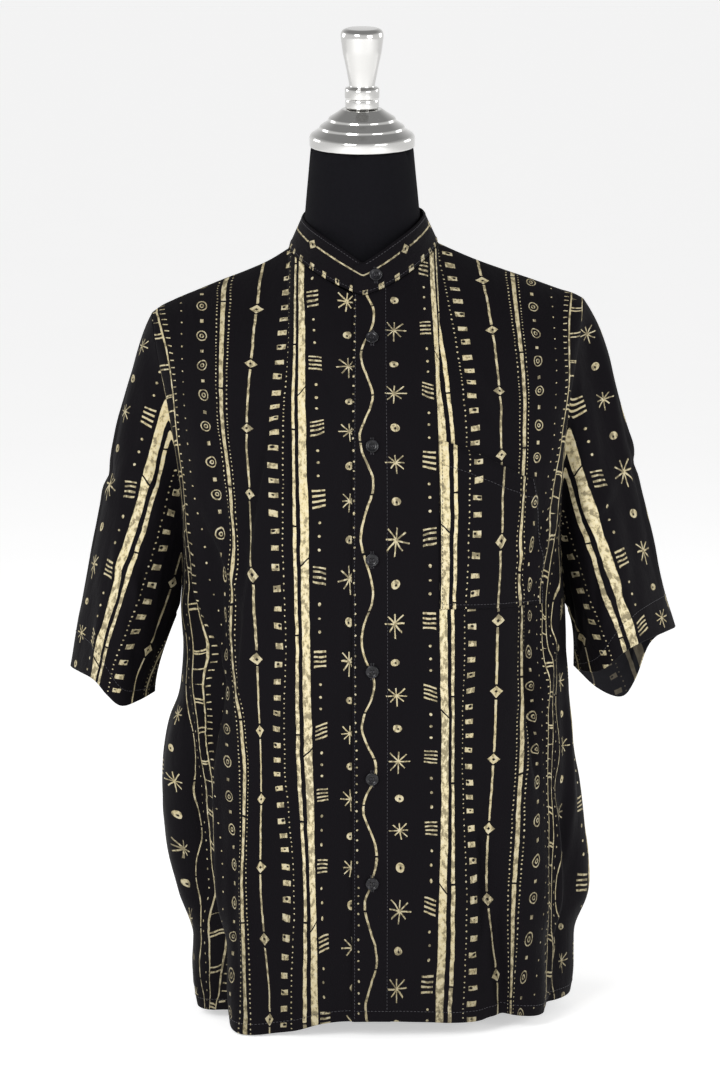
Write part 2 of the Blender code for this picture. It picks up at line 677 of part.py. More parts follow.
def add_neck_fittings(metal, where):
    """The stepped neck cap and the knob that stands on it, both leaning forward with the neck."""
    lean = math.radians(NECK_LEAN_DEG)
    cap_profile = [
        (0.0, 0.0360),
        (0.0195, 0.0360),
        (0.0228, 0.0335),
        (0.0322, 0.0275),
        (0.0330, 0.0245),
        (0.0408, 0.0195),
        (0.0416, 0.0165),
        (0.0492, 0.0120),
        (0.0508, 0.0095),
        (0.0508, 0.0),
        (0.0, 0.0),
    ]
    knob_profile = [
        (0.0, 0.0770),
        (0.0160, 0.0770),
        (0.0200, 0.0745),
        (0.0208, 0.0700),
        (0.0188, 0.0545),
        (0.0150, 0.0370),
        (0.0121, 0.0210),
        (0.0160, 0.0200),
        (0.0167, 0.0185),
        (0.0167, 0.0105),
        (0.0156, 0.0092),
        (0.0162, 0.0078),
        (0.0162, 0.0),
        (0.0, 0.0),
    ]
    axis = np.array([0.0, -math.sin(lean), math.cos(lean)])
    foot = np.array([0.0, 0.0, NECK_TOP_Z]) + axis * SEAM_GAP
    cap = turned("neck_cap", cap_profile, 32, metal, where)
    cap.rotation_euler = (lean, 0, 0)
    cap.location = foot
    knob = turned("neck_knob", knob_profile, 24, metal, where)
    knob.rotation_euler = (lean, 0, 0)
    knob.location = foot + axis * (cap_profile[0][1] + SEAM_GAP)


def build():
    """Make the shirt's pieces, then the form that holds them."""
    clear_scene()
    where = bpy.data.collections.new("printed_shirt_on_form")
    bpy.context.scene.collection.children.link(where)
    cloth = material("printed_cotton", (0.020, 0.019, 0.024), 0.85)
    jersey = material("black_jersey", (0.012, 0.012, 0.014), 0.92)
    plastic = material("black_button", (0.025, 0.023, 0.028), 0.28)
    chrome = material("polished_chrome", (0.78, 0.78, 0.77), 0.12, 1.0)

    left = front_panel(1, ROWS_BELOW, UPPER_SHARES, COLS_INNER, COLS_OUTER)
    right = tuck_under(front_panel(-1, ROWS_BELOW, UPPER_SHARES, COLS_INNER, COLS_OUTER))
    back = back_panel(ROWS_BELOW, UPPER_SHARES, COLS_INNER, COLS_OUTER)
    add_cloth("front_left", left, cloth, where)
    add_cloth("front_right", right, cloth, where, flip=True)
    add_cloth("back", back, cloth, where)

    for side, name, front, hem, run, spread in (
        (1, "sleeve_left", left, SLEEVE_LEFT_HEM, SLEEVE_LEFT_RUN, SLEEVE_LEFT_SPREAD),
        (-1, "sleeve_right", right, SLEEVE_RIGHT_HEM, SLEEVE_RIGHT_RUN, SLEEVE_RIGHT_SPREAD),
    ):
        loop, ways, normals = armhole(side, front, back, ROWS_BELOW)
        grid = sleeve_grid(side, hem, run, spread, loop, ways, normals, SLEEVE_ROWS)
        add_cloth(name, grid, cloth, where, closed=True, flip=side > 0)

    collar = collar_grid(COLLAR_COLS)
    add_cloth("collar_band", collar, cloth, where)
    add_form(("front_left", "front_right", "back", "collar_band"), jersey, where)
    add_cloth("pocket", pocket_grid(left, ROWS_BELOW), cloth, where)
    add_buttons(left, collar, plastic, where)
    add_neck_fittings(chrome, where)


build()
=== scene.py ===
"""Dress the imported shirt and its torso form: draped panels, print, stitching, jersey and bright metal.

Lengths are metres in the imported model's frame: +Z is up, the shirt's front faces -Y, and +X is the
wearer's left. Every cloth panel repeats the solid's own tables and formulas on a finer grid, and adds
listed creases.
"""

import logging
import math
from dataclasses import dataclass, field
from enum import Enum
from math import pi
from typing import Any, NamedTuple, Sequence

import bmesh
import bpy
import numpy as np
from bpy.types import ID, Material, Mesh, Node, NodeSocket, NodeTree, Object
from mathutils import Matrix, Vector

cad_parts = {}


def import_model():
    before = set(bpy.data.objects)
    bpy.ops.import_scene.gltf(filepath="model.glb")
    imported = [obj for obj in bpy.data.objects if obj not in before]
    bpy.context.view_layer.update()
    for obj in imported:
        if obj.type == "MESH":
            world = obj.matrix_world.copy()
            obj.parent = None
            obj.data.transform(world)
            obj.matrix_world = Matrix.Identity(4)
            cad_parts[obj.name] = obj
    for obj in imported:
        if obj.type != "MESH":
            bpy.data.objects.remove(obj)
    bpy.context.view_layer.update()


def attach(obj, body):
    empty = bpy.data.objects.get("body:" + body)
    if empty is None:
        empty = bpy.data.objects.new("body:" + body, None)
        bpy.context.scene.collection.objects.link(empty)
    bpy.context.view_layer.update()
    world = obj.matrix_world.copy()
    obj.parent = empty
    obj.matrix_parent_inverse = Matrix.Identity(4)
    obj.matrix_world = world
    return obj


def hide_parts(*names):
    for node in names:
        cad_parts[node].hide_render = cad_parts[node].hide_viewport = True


LOG = logging.getLogger("shirt")
Array = np.ndarray
Colour = tuple[float, float, float, float]

# Sizes that the solids share
WALL = 0.0012
SEAM_GAP = 0.0003
LAYER_STEP = WALL + SEAM_GAP
CENTRE_X = 0.008
ARMPIT_Z = 0.395
OVERLAP_UPPER = 0.017
OVERLAP_UNDER = 0.020
NECK_MIDDLE_X = 0.0014
NECK_HALF_X = 0.0709
NECK_POINT_Z = 0.7440
NECK_TILT_Z = 0.0024
NECK_FRONT_Y = -0.082
NECK_FRONT_Z = 0.7010
NECK_BACK_Y = 0.064
NECK_BACK_Z = 0.7540
TIP_Y = 0.012
COLLAR_HEIGHT = 0.0300
COLLAR_CORNER = 0.012
BUTTON_RADIUS = 0.0062
BUTTON_THICKNESS = 0.0026
BUTTON_HEIGHTS = (0.6640, 0.5655, 0.4600, 0.3545, 0.2530, 0.1530)
NECK_TOP_Z = 0.8400
NECK_LEAN_DEG = 8.0

# Camera of the photo
VIEW_PITCH_DEG = 7.5
VIEW_DISTANCE = 4.0
VIEW_LENS = 137.1
VIEW_TARGET = (-0.002, 0.0, 0.4585)
PHOTO_MIDDLE = (360.0, 539.5)
PIXELS_PER_METRE = 1027.6

# Fine grid of the cloth
DENSE_ANGLES = 481
ROWS_PER_STEP = 6
BODY_ROWS = 96
INNER_COLUMNS = 52
OUTER_COLUMNS = 90
SLEEVE_ROWS = 84
SLEEVE_HEM_ROWS = 10
SLEEVE_HEM_SHARE = 0.935
COLLAR_COLUMNS = 300
HEM_STEPS = (0.0, 0.0016, 0.0045, 0.0080, 0.0100, 0.0112, 0.0125, 0.0150)
UPPER_SHARES = (0.0, 0.035, 0.10, 0.19, 0.28, 0.38, 0.49, 0.60, 0.71, 0.81, 0.91, 1.0)
POCKET_FIRST_STEP = 1
POCKET_LAST_STEP = 5
POCKET_COLUMN_SHARE = 5 / 9

# Turned edges and stitching, in from the edge
HEM_LINE = 0.0100
SLEEVE_HEM_LINE = 0.0200
POCKET_HEM_LINE = 0.0220
BAND_LINE = 0.0350
BAND_STITCH_INSET = 0.0022
EDGE_STITCH_LINE = 0.0020

# Buttons and their sewing
BUTTON_SHIFT = 0.0015
COLLAR_BUTTON_PLACE = 0.0228
BUTTON_FOOT = 0.0003
SEWING_OFFSETS = (-0.0011, 0.0011)
SEWING_LENGTH = 0.0034
BUTTONHOLE_HALF = 0.0078
BUTTONHOLE_STITCHES = 27
BUTTONHOLE_STITCH_LENGTH = 0.0014

# How the print is laid on the cloth
PRINT_SHIFT_LEFT = -0.017
PRINT_SHIFT_RIGHT = 0.019
PRINT_ROWS_AVERAGED = 15
LEAST_WIDTH_SHARE = 0.36
MOST_WIDTH_SHARE = 1.40
LEAST_TAIL = 0.004
SEAM_HOLD = 0.65
BACK_PRINT_START = 0.031
POCKET_PRINT_SHIFT = (-0.001, 0.005)


class Section(NamedTuple):
    """One level of the shirt body: half widths to the wearer's right and left, and its depths."""

    z: float
    right: float
    left: float
    front: float
    back: float


class Fold(NamedTuple):
    """One soft vertical fold: angle at top and bottom, half width, height range and reach outward."""

    top_deg: float
    low_deg: float
    half_deg: float
    top_z: float
    low_z: float
    out: float


class Crease(NamedTuple):
    """One crease: its two ends (across, height), sideways bow, half width, reach, and steepness."""

    across_a: float
    height_a: float
    across_b: float
    height_b: float
    bow: float
    half: float
    out: float
    steep: float = 0.55


class Ripple(NamedTuple):
    """One long shallow wave of the cloth: wavelength, direction in degrees, phase and height."""

    length: float
    turn_deg: float
    phase: float
    height: float


class HemPoint(NamedTuple):
    """A point of a sleeve hem: turn from the underarm over the front to the outer fold, then x, y, z."""

    turn: float
    x: float
    y: float
    z: float


class StripeLine(NamedTuple):
    """One printed stripe: its place out from the centre front, and its photo x at each of LEVELS."""

    place: float
    x_280: float
    x_400: float
    x_520: float
    x_640: float
    x_760: float
    x_880: float
    x_1000: float


BODY_SQUARE = 2.35
BODY = (
    Section(0.000, 0.1610, 0.1965, 0.158, 0.142),
    Section(0.035, 0.1665, 0.2035, 0.160, 0.144),
    Section(0.060, 0.1655, 0.2040, 0.161, 0.145),
    Section(0.082, 0.1655, 0.2050, 0.162, 0.147),
    Section(0.120, 0.1805, 0.2185, 0.164, 0.149),
    Section(0.150, 0.1890, 0.2190, 0.164, 0.150),
    Section(0.180, 0.1925, 0.2150, 0.164, 0.150),
    Section(0.220, 0.1950, 0.2105, 0.163, 0.148),
    Section(0.258, 0.1925, 0.2055, 0.162, 0.147),
    Section(0.284, 0.1870, 0.2035, 0.161, 0.146),
    Section(0.304, 0.1790, 0.2010, 0.160, 0.145),
    Section(0.330, 0.1750, 0.1985, 0.159, 0.144),
    Section(0.360, 0.1735, 0.1960, 0.158, 0.143),
    Section(0.395, 0.1760, 0.1965, 0.157, 0.142),
    Section(0.500, 0.1800, 0.1990, 0.155, 0.140),
)

# Height of the hem round the body, from the centre back by the wearer's right to the front and on
HEM_DEG = (-180, -130, -90, -68, -50, -34, -27, -17, -8, 0, 20, 33, 48, 65, 78, 90, 130, 180)
HEM_Z = (
    *(0.020, 0.024, 0.015, 0.010, 0.0060, 0.0045, 0.0065, 0.0150, 0.0180),
    *(0.0190, 0.0172, 0.0150, 0.0160, 0.013, 0.017, 0.023, 0.024, 0.020),
)

FRONT_FOLDS = (
    Fold(-55, -58, 5.5, 0.560, -0.05, -0.016),
    Fold(-38, -41, 8.5, 0.420, -0.05, 0.018),
    Fold(-72, -68, 7.5, 0.420, -0.05, 0.006),
    Fold(52, 60, 6.0, 0.500, 0.20, -0.012),
    Fold(33, 47, 5.5, 0.240, -0.05, -0.010),
    Fold(66, 68, 5.5, 0.280, -0.05, -0.011),
    Fold(44, 57, 7.0, 0.300, -0.05, 0.007),
    Fold(78, 80, 6.0, 0.300, -0.05, 0.003),
)

BACK_FOLDS = (
    Fold(104, 108, 8.0, 0.480, -0.05, -0.012),
    Fold(124, 126, 9.0, 0.440, -0.05, 0.009),
    Fold(143, 146, 8.0, 0.560, -0.05, -0.012),
    Fold(163, 163, 9.0, 0.360, -0.05, 0.008),
    Fold(184, 181, 8.0, 0.480, -0.05, -0.010),
    Fold(203, 201, 9.0, 0.400, -0.05, 0.009),
    Fold(222, 219, 8.0, 0.540, -0.05, -0.013),
    Fold(242, 240, 8.0, 0.420, -0.05, 0.009),
    Fold(258, 256, 7.0, 0.470, -0.05, -0.011),
)

# The shoulder line outside the neck, on each side: x from the middle and height
SHOULDER_RIGHT_X = (0.0695, 0.0878, 0.1090, 0.1341, 0.1573, 0.1814, 0.1949, 0.2020)
SHOULDER_RIGHT_Z = (0.7416, 0.7303, 0.7206, 0.7109, 0.7012, 0.6910, 0.6842, 0.6790)
SHOULDER_LEFT_X = (0.0723, 0.0886, 0.1099, 0.1359, 0.1648, 0.1918, 0.2053, 0.2130)
SHOULDER_LEFT_Z = (0.7464, 0.7390, 0.7300, 0.7206, 0.7106, 0.7008, 0.6965, 0.6925)

SLEEVE_RIGHT_HEM = (
    HemPoint(0, -0.2029, -0.010, 0.3108),
    HemPoint(30, -0.2167, -0.045, 0.3079),
    HemPoint(60, -0.2318, -0.068, 0.3070),
    HemPoint(90, -0.2449, -0.072, 0.3183),
    HemPoint(120, -0.2582, -0.058, 0.3306),
    HemPoint(150, -0.2730, -0.032, 0.3338),
    HemPoint(180, -0.2838, 0.000, 0.3338),
    HemPoint(210, -0.2825, 0.034, 0.3309),
    HemPoint(240, -0.2737, 0.062, 0.3224),
    HemPoint(270, -0.2589, 0.078, 0.3117),
    HemPoint(300, -0.2380, 0.076, 0.3056),
    HemPoint(330, -0.2160, 0.044, 0.3066),
    HemPoint(360, -0.2029, -0.010, 0.3108),
)
SLEEVE_LEFT_HEM = (
    HemPoint(0, 0.2080, 0.008, 0.3330),
    HemPoint(30, 0.2167, -0.024, 0.3330),
    HemPoint(60, 0.2290, -0.052, 0.3380),
    HemPoint(90, 0.2410, -0.068, 0.3500),
    HemPoint(120, 0.2570, -0.068, 0.3630),
    HemPoint(150, 0.2810, -0.044, 0.3700),
    HemPoint(180, 0.3045, 0.000, 0.3724),
    HemPoint(210, 0.3000, 0.036, 0.3650),
    HemPoint(240, 0.2840, 0.058, 0.3470),
    HemPoint(270, 0.2710, 0.064, 0.3110),
    HemPoint(300, 0.2576, 0.056, 0.2950),
    HemPoint(330, 0.2333, 0.042, 0.3056),
    HemPoint(360, 0.2080, 0.008, 0.3330),
)

# Photo heights at which the stripes' places are read, and the stripes of each front
LEVELS = (280, 400, 520, 640, 760, 880, 1000)
STRIPES_LEFT = (
    StripeLine(-0.030, 340, 338, 338, 339, 340, 342, 343),
    StripeLine(0.000, 371, 369, 369.5, 370, 371.5, 373, 374),
    StripeLine(0.025, 394, 394, 396, 395, 398.5, 400, 396),
    StripeLine(0.056, 425, 428, 429.5, 430, 431, 431, 427),
    StripeLine(0.0697, 441, 442.7, 443.8, 443.4, 445.3, 443, 439),
    StripeLine(0.0985, 467, 475, 475, 471, 467.5, 474, 471),
    StripeLine(0.1225, 490, 499.6, 501, 497, 493.5, 486, 500),
    StripeLine(0.150, 513, 524.6, 521, 522, 520.5, 514, 511),
    StripeLine(0.171, 530, 539, 532, 529, 537, 535, 520),
    StripeLine(0.192, 550, 556, 542, 532, 540, 545, 533),
    StripeLine(0.212, 571, 566, 548, 536, 543, 548, 545),
    StripeLine(0.228, 582, 577, 556, 541, 546, 550, 550),
    StripeLine(0.252, 597, 590, 567, 549, 550, 553, 555),
    StripeLine(0.277, 612, 603, 580, 557, 557, 558, 562),
)
STRIPES_RIGHT = (
    StripeLine(-0.030, 401, 400, 401, 401, 402, 403, 404),
    StripeLine(0.000, 371, 371, 372, 372, 373, 374, 376),
    StripeLine(0.025, 346, 349, 350, 349, 350, 351, 354),
    StripeLine(0.056, 312, 317, 319.5, 320, 322, 321.5, 324),
    StripeLine(0.0697, 298.5, 302, 304.5, 306, 309.5, 313, 316),
    StripeLine(0.0985, 268, 270.7, 274.3, 279, 276, 287, 283),
    StripeLine(0.1225, 246, 246.3, 250.4, 256, 261, 260, 270),
    StripeLine(0.150, 224, 221, 234, 231, 245, 242, 246),
    StripeLine(0.171, 202, 204.6, 221, 228, 228, 236, 231),
    StripeLine(0.192, 181, 185, 196, 224, 215, 224, 222),
    StripeLine(0.212, 152, 175, 186, 201, 207, 211, 216),
    StripeLine(0.228, 140, 165, 178, 188, 203, 206, 211),
    StripeLine(0.252, 125, 150, 170, 180, 197.5, 197, 205),
    StripeLine(0.277, 110, 135, 158, 168, 173, 189, 198),
)

# Creases: distance across from the centre line, positive to the wearer's left, and height
FRONT_CREASES = (
    Crease(-0.108, 0.610, -0.132, 0.300, 0.006, 0.011, 0.0055, 0.40),
    Crease(-0.190, 0.505, -0.118, 0.395, 0.008, 0.010, 0.0040),
    Crease(-0.205, 0.450, -0.140, 0.330, -0.006, 0.009, 0.0042, 0.45),
    Crease(-0.175, 0.560, -0.135, 0.480, 0.004, 0.008, 0.0022),
    Crease(-0.165, 0.270, -0.158, 0.090, 0.004, 0.008, 0.0040, 0.45),
    Crease(-0.122, 0.190, -0.116, 0.020, -0.003, 0.007, 0.0042, 0.35),
    Crease(-0.085, 0.150, -0.070, 0.000, 0.004, 0.012, 0.0020),
    Crease(-0.215, 0.340, -0.190, 0.160, 0.006, 0.009, 0.0038),
    Crease(-0.060, 0.640, -0.072, 0.470, 0.003, 0.013, 0.0014),
    Crease(0.105, 0.215, 0.112, 0.085, 0.002, 0.005, -0.0045, 0.80),
    Crease(0.124, 0.130, 0.140, -0.005, -0.002, 0.007, -0.0052, 0.60),
    Crease(0.196, 0.235, 0.206, 0.010, 0.003, 0.009, 0.0048, 0.40),
    Crease(0.178, 0.545, 0.148, 0.450, 0.004, 0.008, 0.0028),
    Crease(0.205, 0.500, 0.150, 0.410, -0.005, 0.010, 0.0038, 0.45),
    Crease(0.212, 0.450, 0.180, 0.290, 0.006, 0.009, 0.0048, 0.40),
    Crease(0.176, 0.400, 0.172, 0.225, -0.004, 0.007, -0.0045, 0.60),
    Crease(0.110, 0.670, 0.165, 0.560, 0.006, 0.010, 0.0018),
    Crease(0.078, 0.120, 0.070, 0.000, 0.003, 0.012, 0.0018),
    Crease(0.232, 0.330, 0.226, 0.140, 0.005, 0.009, 0.0034),
    Crease(0.020, 0.620, 0.052, 0.608, 0.002, 0.007, 0.0009),
    Crease(0.021, 0.410, 0.060, 0.396, -0.003, 0.008, 0.0010),
    Crease(-0.018, 0.308, -0.055, 0.292, 0.003, 0.008, 0.0010),
)
BACK_CREASES = (
    Crease(-0.020, 0.650, -0.034, 0.420, 0.004, 0.012, 0.0022),
    Crease(0.042, 0.610, 0.058, 0.330, -0.006, 0.012, 0.0028),
    Crease(-0.095, 0.570, -0.072, 0.300, 0.008, 0.011, 0.0034, 0.45),
    Crease(0.110, 0.560, 0.086, 0.345, -0.007, 0.010, 0.0032, 0.45),
    Crease(-0.185, 0.500, -0.112, 0.380, 0.007, 0.010, 0.0040, 0.45),
    Crease(0.190, 0.490, 0.124, 0.400, -0.006, 0.010, 0.0038),
    Crease(-0.200, 0.440, -0.150, 0.270, -0.007, 0.009, 0.0040, 0.45),
    Crease(0.205, 0.430, 0.158, 0.290, 0.005, 0.009, 0.0036, 0.45),
    Crease(0.005, 0.300, 0.014, 0.020, 0.005, 0.009, -0.0034),
    Crease(-0.052, 0.240, -0.046, 0.010, -0.004, 0.010, 0.0030),
    Crease(0.092, 0.260, 0.102, 0.030, 0.004, 0.008, -0.0036, 0.70),
    Crease(-0.118, 0.220, -0.126, 0.010, 0.004, 0.009, -0.0036),
    Crease(0.165, 0.230, 0.172, 0.030, -0.004, 0.009, 0.0036),
    Crease(-0.190, 0.260, -0.196, 0.050, 0.004, 0.008, 0.0034),
    Crease(0.000, 0.700, 0.070, 0.690, -0.006, 0.012, 0.0010),
)
SLEEVE_CREASES = (
    Crease(-0.120, 0.050, -0.030, 0.150, 0.010, 0.010, 0.0042, 0.45),
    Crease(-0.135, 0.110, -0.050, 0.200, 0.008, 0.009, 0.0034, 0.45),
    Crease(0.130, 0.060, 0.035, 0.170, -0.010, 0.010, 0.0040, 0.45),
    Crease(0.120, 0.140, 0.050, 0.240, -0.006, 0.010, 0.0030),
    Crease(-0.030, 0.150, 0.020, 0.172, 0.004, 0.010, -0.0026),
    Crease(0.000, 0.090, 0.008, 0.300, 0.004, 0.006, 0.0022, 0.80),
    Crease(-0.060, 0.230, -0.070, 0.330, 0.003, 0.010, 0.0030),
    Crease(0.072, 0.220, 0.080, 0.330, -0.003, 0.010, 0.0028),
    Crease(-0.100, 0.210, -0.112, 0.320, 0.003, 0.009, -0.0026),
)
RIPPLES = (
    Ripple(0.071, 8, 0.3, 0.00045),
    Ripple(0.053, -14, 1.7, 0.00040),
    Ripple(0.038, 22, 2.9, 0.00026),
    Ripple(0.112, -35, 0.9, 0.00060),
    Ripple(0.090, 63, 4.1, 0.00045),
    Ripple(0.029, -52, 5.2, 0.00014),
    Ripple(0.024, 12, 3.6, 0.00012),
)


class Side(Enum):
    """The wearer's side that a piece belongs to, as the sign of its x."""

    LEFT = 1
    RIGHT = -1

    @property
    def word(self) -> str:
        """The side's name in lower case."""
        return self.name.lower()


def smooth(at: Array, knots: Sequence[float], values: Sequence[float]) -> Array:
    """Hermite curve through a table: slopes from neighbouring points, held level past its ends.

    Args:
        at: Places to read the curve at.
        knots: The table's places, rising.
        values: The table's values.

    Returns:
        The curve's value at each place.
    """
    knots = np.asarray(knots, float)
    values = np.asarray(values, float)
    slopes = np.gradient(values, knots)
    at = np.clip(np.asarray(at, float), knots[0], knots[-1])
    i = np.clip(np.searchsorted(knots, at, side="right") - 1, 0, len(knots) - 2)
    step = knots[i + 1] - knots[i]
    f = (at - knots[i]) / step
    rise = values[i] * (1 + 2 * f) * (1 - f) ** 2 + values[i + 1] * f**2 * (3 - 2 * f)
    bend = step * (slopes[i] * f * (1 - f) ** 2 - slopes[i + 1] * f**2 * (1 - f))
    return rise + bend


def ease(f: Array) -> Array:
    """Smooth step from 0 to 1: 3f squared minus 2f cubed."""
    f = np.clip(f, 0.0, 1.0)
    return f * f * (3 - 2 * f)


def before(distance: Array, line: float, soft: float) -> Array:
    """1 up to a line and 0 past it, with a soft edge."""
    return 1 - ease((distance - line) / soft)


def bezier(f: Array, a: Array, b: Array, c: Array, d: Array) -> Array:
    """Cubic Bezier curve from its first point to its last, drawn towards the two between them."""
    return (1 - f) ** 3 * a + 3 * (1 - f) ** 2 * f * b + 3 * (1 - f) * f**2 * c + f**3 * d


def unit(vectors: Array) -> Array:
    """The vectors at length 1."""
    vectors = np.asarray(vectors, float)
    return vectors / np.linalg.norm(vectors, axis=-1, keepdims=True)


def lengths_along(grid: Array, axis: int) -> Array:
    """Distance from the first point along one direction of a grid of points.

    Args:
        grid: The points.
        axis: 0 along the columns, 1 along the rows.

    Returns:
        The distance at each point.
    """
    steps = np.linalg.norm(np.diff(grid[..., :3], axis=axis), axis=-1)
    start = np.zeros_like(np.take(steps, [0], axis=axis))
    return np.concatenate([start, np.cumsum(steps, axis=axis)], axis=axis)


def normals_of(grid: Array, closed: bool = False) -> Array:
    """Unit normals of a grid: the cross product of its steps across and along.

    Args:
        grid: Points in rows and columns.
        closed: Whether the last column meets the first.

    Returns:
        One normal for each point.
    """
    if closed:
        across = np.roll(grid, -1, axis=1) - np.roll(grid, 1, axis=1)
    else:
        across = np.gradient(grid, axis=1)
    return unit(np.cross(across, np.gradient(grid, axis=0)))


def resample(rows: Array, lengths: Array, wanted: Array) -> Array:
    """Read every row of a grid at new distances, all channels alike.

    Args:
        rows: Grid of rows, columns and channels.
        lengths: Distance of each point along its row.
        wanted: New distances for each row.

    Returns:
        Grid with the wanted columns.
    """
    made = []
    for row, length, want in zip(rows, lengths, wanted):
        made.append(np.stack([np.interp(want, length, row[:, k]) for k in range(row.shape[1])], -1))
    return np.array(made)


def crease_height(across: Array, height: Array, creases: Sequence[Crease]) -> Array:
    """How far creases lift the cloth.

    Each crease is a ridge along a bowed line. Its section is a bell with one steep flank and a
    shallow furrow beside that flank, and it dies out towards both ends.

    Args:
        across: Distance across the cloth of each point.
        height: Height of each point.
        creases: The creases.

    Returns:
        Reach outward of each point.
    """
    lift = np.zeros(np.broadcast(across, height).shape)
    for one in creases:
        run = np.array([one.across_b - one.across_a, one.height_b - one.height_a])
        length = float(np.hypot(*run))
        way = run / length
        s = ((across - one.across_a) * way[0] + (height - one.height_a) * way[1]) / length
        d = (height - one.height_a) * way[0] - (across - one.across_a) * way[1]
        d = d - one.bow * 4 * s * (1 - s)
        taper = ease(np.minimum(s + 0.06, 1.06 - s) / 0.34)
        width = np.where(d > 0, one.half, one.half * one.steep)
        ridge = np.exp(-((d / width) ** 2))
        furrow = np.exp(-(((d + 1.5 * one.half) / (0.8 * one.half)) ** 2))
        lift += one.out * taper * (ridge - 0.45 * furrow)
    return lift


def ripple_height(across: Array, height: Array, seed: float) -> Array:
    """Sum of long shallow waves, each a sine along its own direction that swells and fades.

    Args:
        across: Distance across the cloth of each point.
        height: Height of each point.
        seed: Shift of the waves.

    Returns:
        Reach outward of each point.
    """
    lift = np.zeros(np.broadcast(across, height).shape)
    for wave in RIPPLES:
        turn = math.radians(wave.turn_deg)
        along = across * math.cos(turn) + height * math.sin(turn)
        aslant = 2 * pi * (height - across) / (wave.length * 4.3)
        swell = 0.6 + 0.4 * np.sin(aslant + wave.phase * seed)
        lift += wave.height * swell * np.sin(2 * pi * along / wave.length + wave.phase + seed)
    return lift


def photo_place(points: Array) -> tuple[Array, Array]:
    """Where points fall in the photo: a pinhole view tilted down by the photo's pitch.

    Args:
        points: The points.

    Returns:
        The photo's x and y of each point.
    """
    pitch = math.radians(VIEW_PITCH_DEG)
    rise = points[..., 2] - VIEW_TARGET[2]
    up = points[..., 1] * math.sin(pitch) + rise * math.cos(pitch)
    away = points[..., 1] * math.cos(pitch) - rise * math.sin(pitch)
    scale = PIXELS_PER_METRE * VIEW_DISTANCE / (VIEW_DISTANCE + away)
    return PHOTO_MIDDLE[0] + (points[..., 0] - VIEW_TARGET[0]) * scale, PHOTO_MIDDLE[1] - up * scale


def print_place(points: Array, stripes: Sequence[StripeLine], across: Array) -> Array:
    """Place in the print of each point of a front, out from the centre front.

    Each stripe is met where its row first crosses the stripe's line in the photo. The widths between
    stripes are held near their flat ones and averaged with the rows around. Past the last stripe the
    place grows with the distance across the cloth, and at the side seam below the armpit it is held
    near its value at the armpit.

    Args:
        points: Points in rows, columns running outward from the centre.
        stripes: The stripes, from the centre outward.
        across: Distance across the cloth, rising along the columns.

    Returns:
        Place in metres.
    """
    x, y = photo_place(points)
    way = 1.0 if stripes[-1].x_280 > stripes[0].x_280 else -1.0
    kernel = np.hanning(PRINT_ROWS_AVERAGED + 2)[1:-1]
    pad = PRINT_ROWS_AVERAGED // 2
    rows = np.arange(len(points))
    met = np.zeros((len(points), len(stripes) + 1))
    for k, stripe in enumerate(stripes):
        past = (x - smooth(y, LEVELS, stripe[1:])) * way
        j = np.maximum(np.argmax(past >= 0, axis=1), 1)
        share = past[rows, j - 1] / (past[rows, j - 1] - past[rows, j])
        found = across[rows, j - 1] + (across[rows, j] - across[rows, j - 1]) * share
        if k:
            flat = stripe.place - stripes[k - 1].place
            step = np.where(np.any(past >= 0, axis=1), found - met[:, k - 1], flat)
            step = np.clip(step, LEAST_WIDTH_SHARE * flat, MOST_WIDTH_SHARE * flat)
            step = np.pad(step, pad, mode="edge")
            found = met[:, k - 1] + np.convolve(step, kernel / kernel.sum(), mode="valid")
        met[:, k] = found
    tail = np.maximum(across[:, -1] - met[:, -2], LEAST_TAIL)
    met[:, -1] = met[:, -2] + tail
    at_seam = tail + np.where(rows < ROWS_BELOW, SEAM_HOLD * (tail[ROWS_BELOW] - tail), 0)
    places = np.tile([stripe.place for stripe in stripes] + [0.0], (len(points), 1))
    places[:, -1] = places[:, -2] + at_seam
    return np.array([np.interp(a, m, p) for a, m, p in zip(across, met, places)])


def finish_mesh(mesh: Mesh) -> None:
    """Shade a mesh smooth and bring it up to date."""
    mesh.polygons.foreach_set("use_smooth", np.ones(len(mesh.polygons), bool))
    mesh.update()


def new_object(name: str, data: ID) -> Object:
    """Make an object of a mesh, lamp or camera, linked to the scene."""
    obj = bpy.data.objects.new(name, data)
    bpy.context.scene.collection.objects.link(obj)
    return obj


def vectors_of(mesh: Mesh, kind: str = "co") -> Array:
    """A mesh's points, or another vector of each, one in each row."""
    values = np.empty(len(mesh.vertices) * 3)
    mesh.vertices.foreach_get(kind, values)
    return values.reshape(-1, 3)


def make_piece(
    name: str,
    points: Array,
    faces: Array,
    finishes: Sequence[Material],
    coords: Array | None = None,
    kinds: Array | None = None,
) -> Object:
    """Put worked-out points and quads into a new object.

    Args:
        name: Name of the object.
        points: Points, one in each row.
        faces: Quads as rows of point numbers.
        finishes: Its materials.
        coords: Cloth coordinates of each point, in metres.
        kinds: Material number of each face.

    Returns:
        The object, linked to the scene.
    """
    mesh = bpy.data.meshes.new(name)
    mesh.from_pydata(points.reshape(-1, 3).tolist(), [], faces.tolist())
    for one in finishes:
        mesh.materials.append(one)
    if coords is not None:
        layer = mesh.uv_layers.new(name="cloth")
        layer.data.foreach_set("uv", coords.reshape(-1, 2)[faces.ravel()].ravel())
    if kinds is not None:
        mesh.polygons.foreach_set("material_index", kinds.astype(np.int32))
    finish_mesh(mesh)
    return new_object(name, mesh)


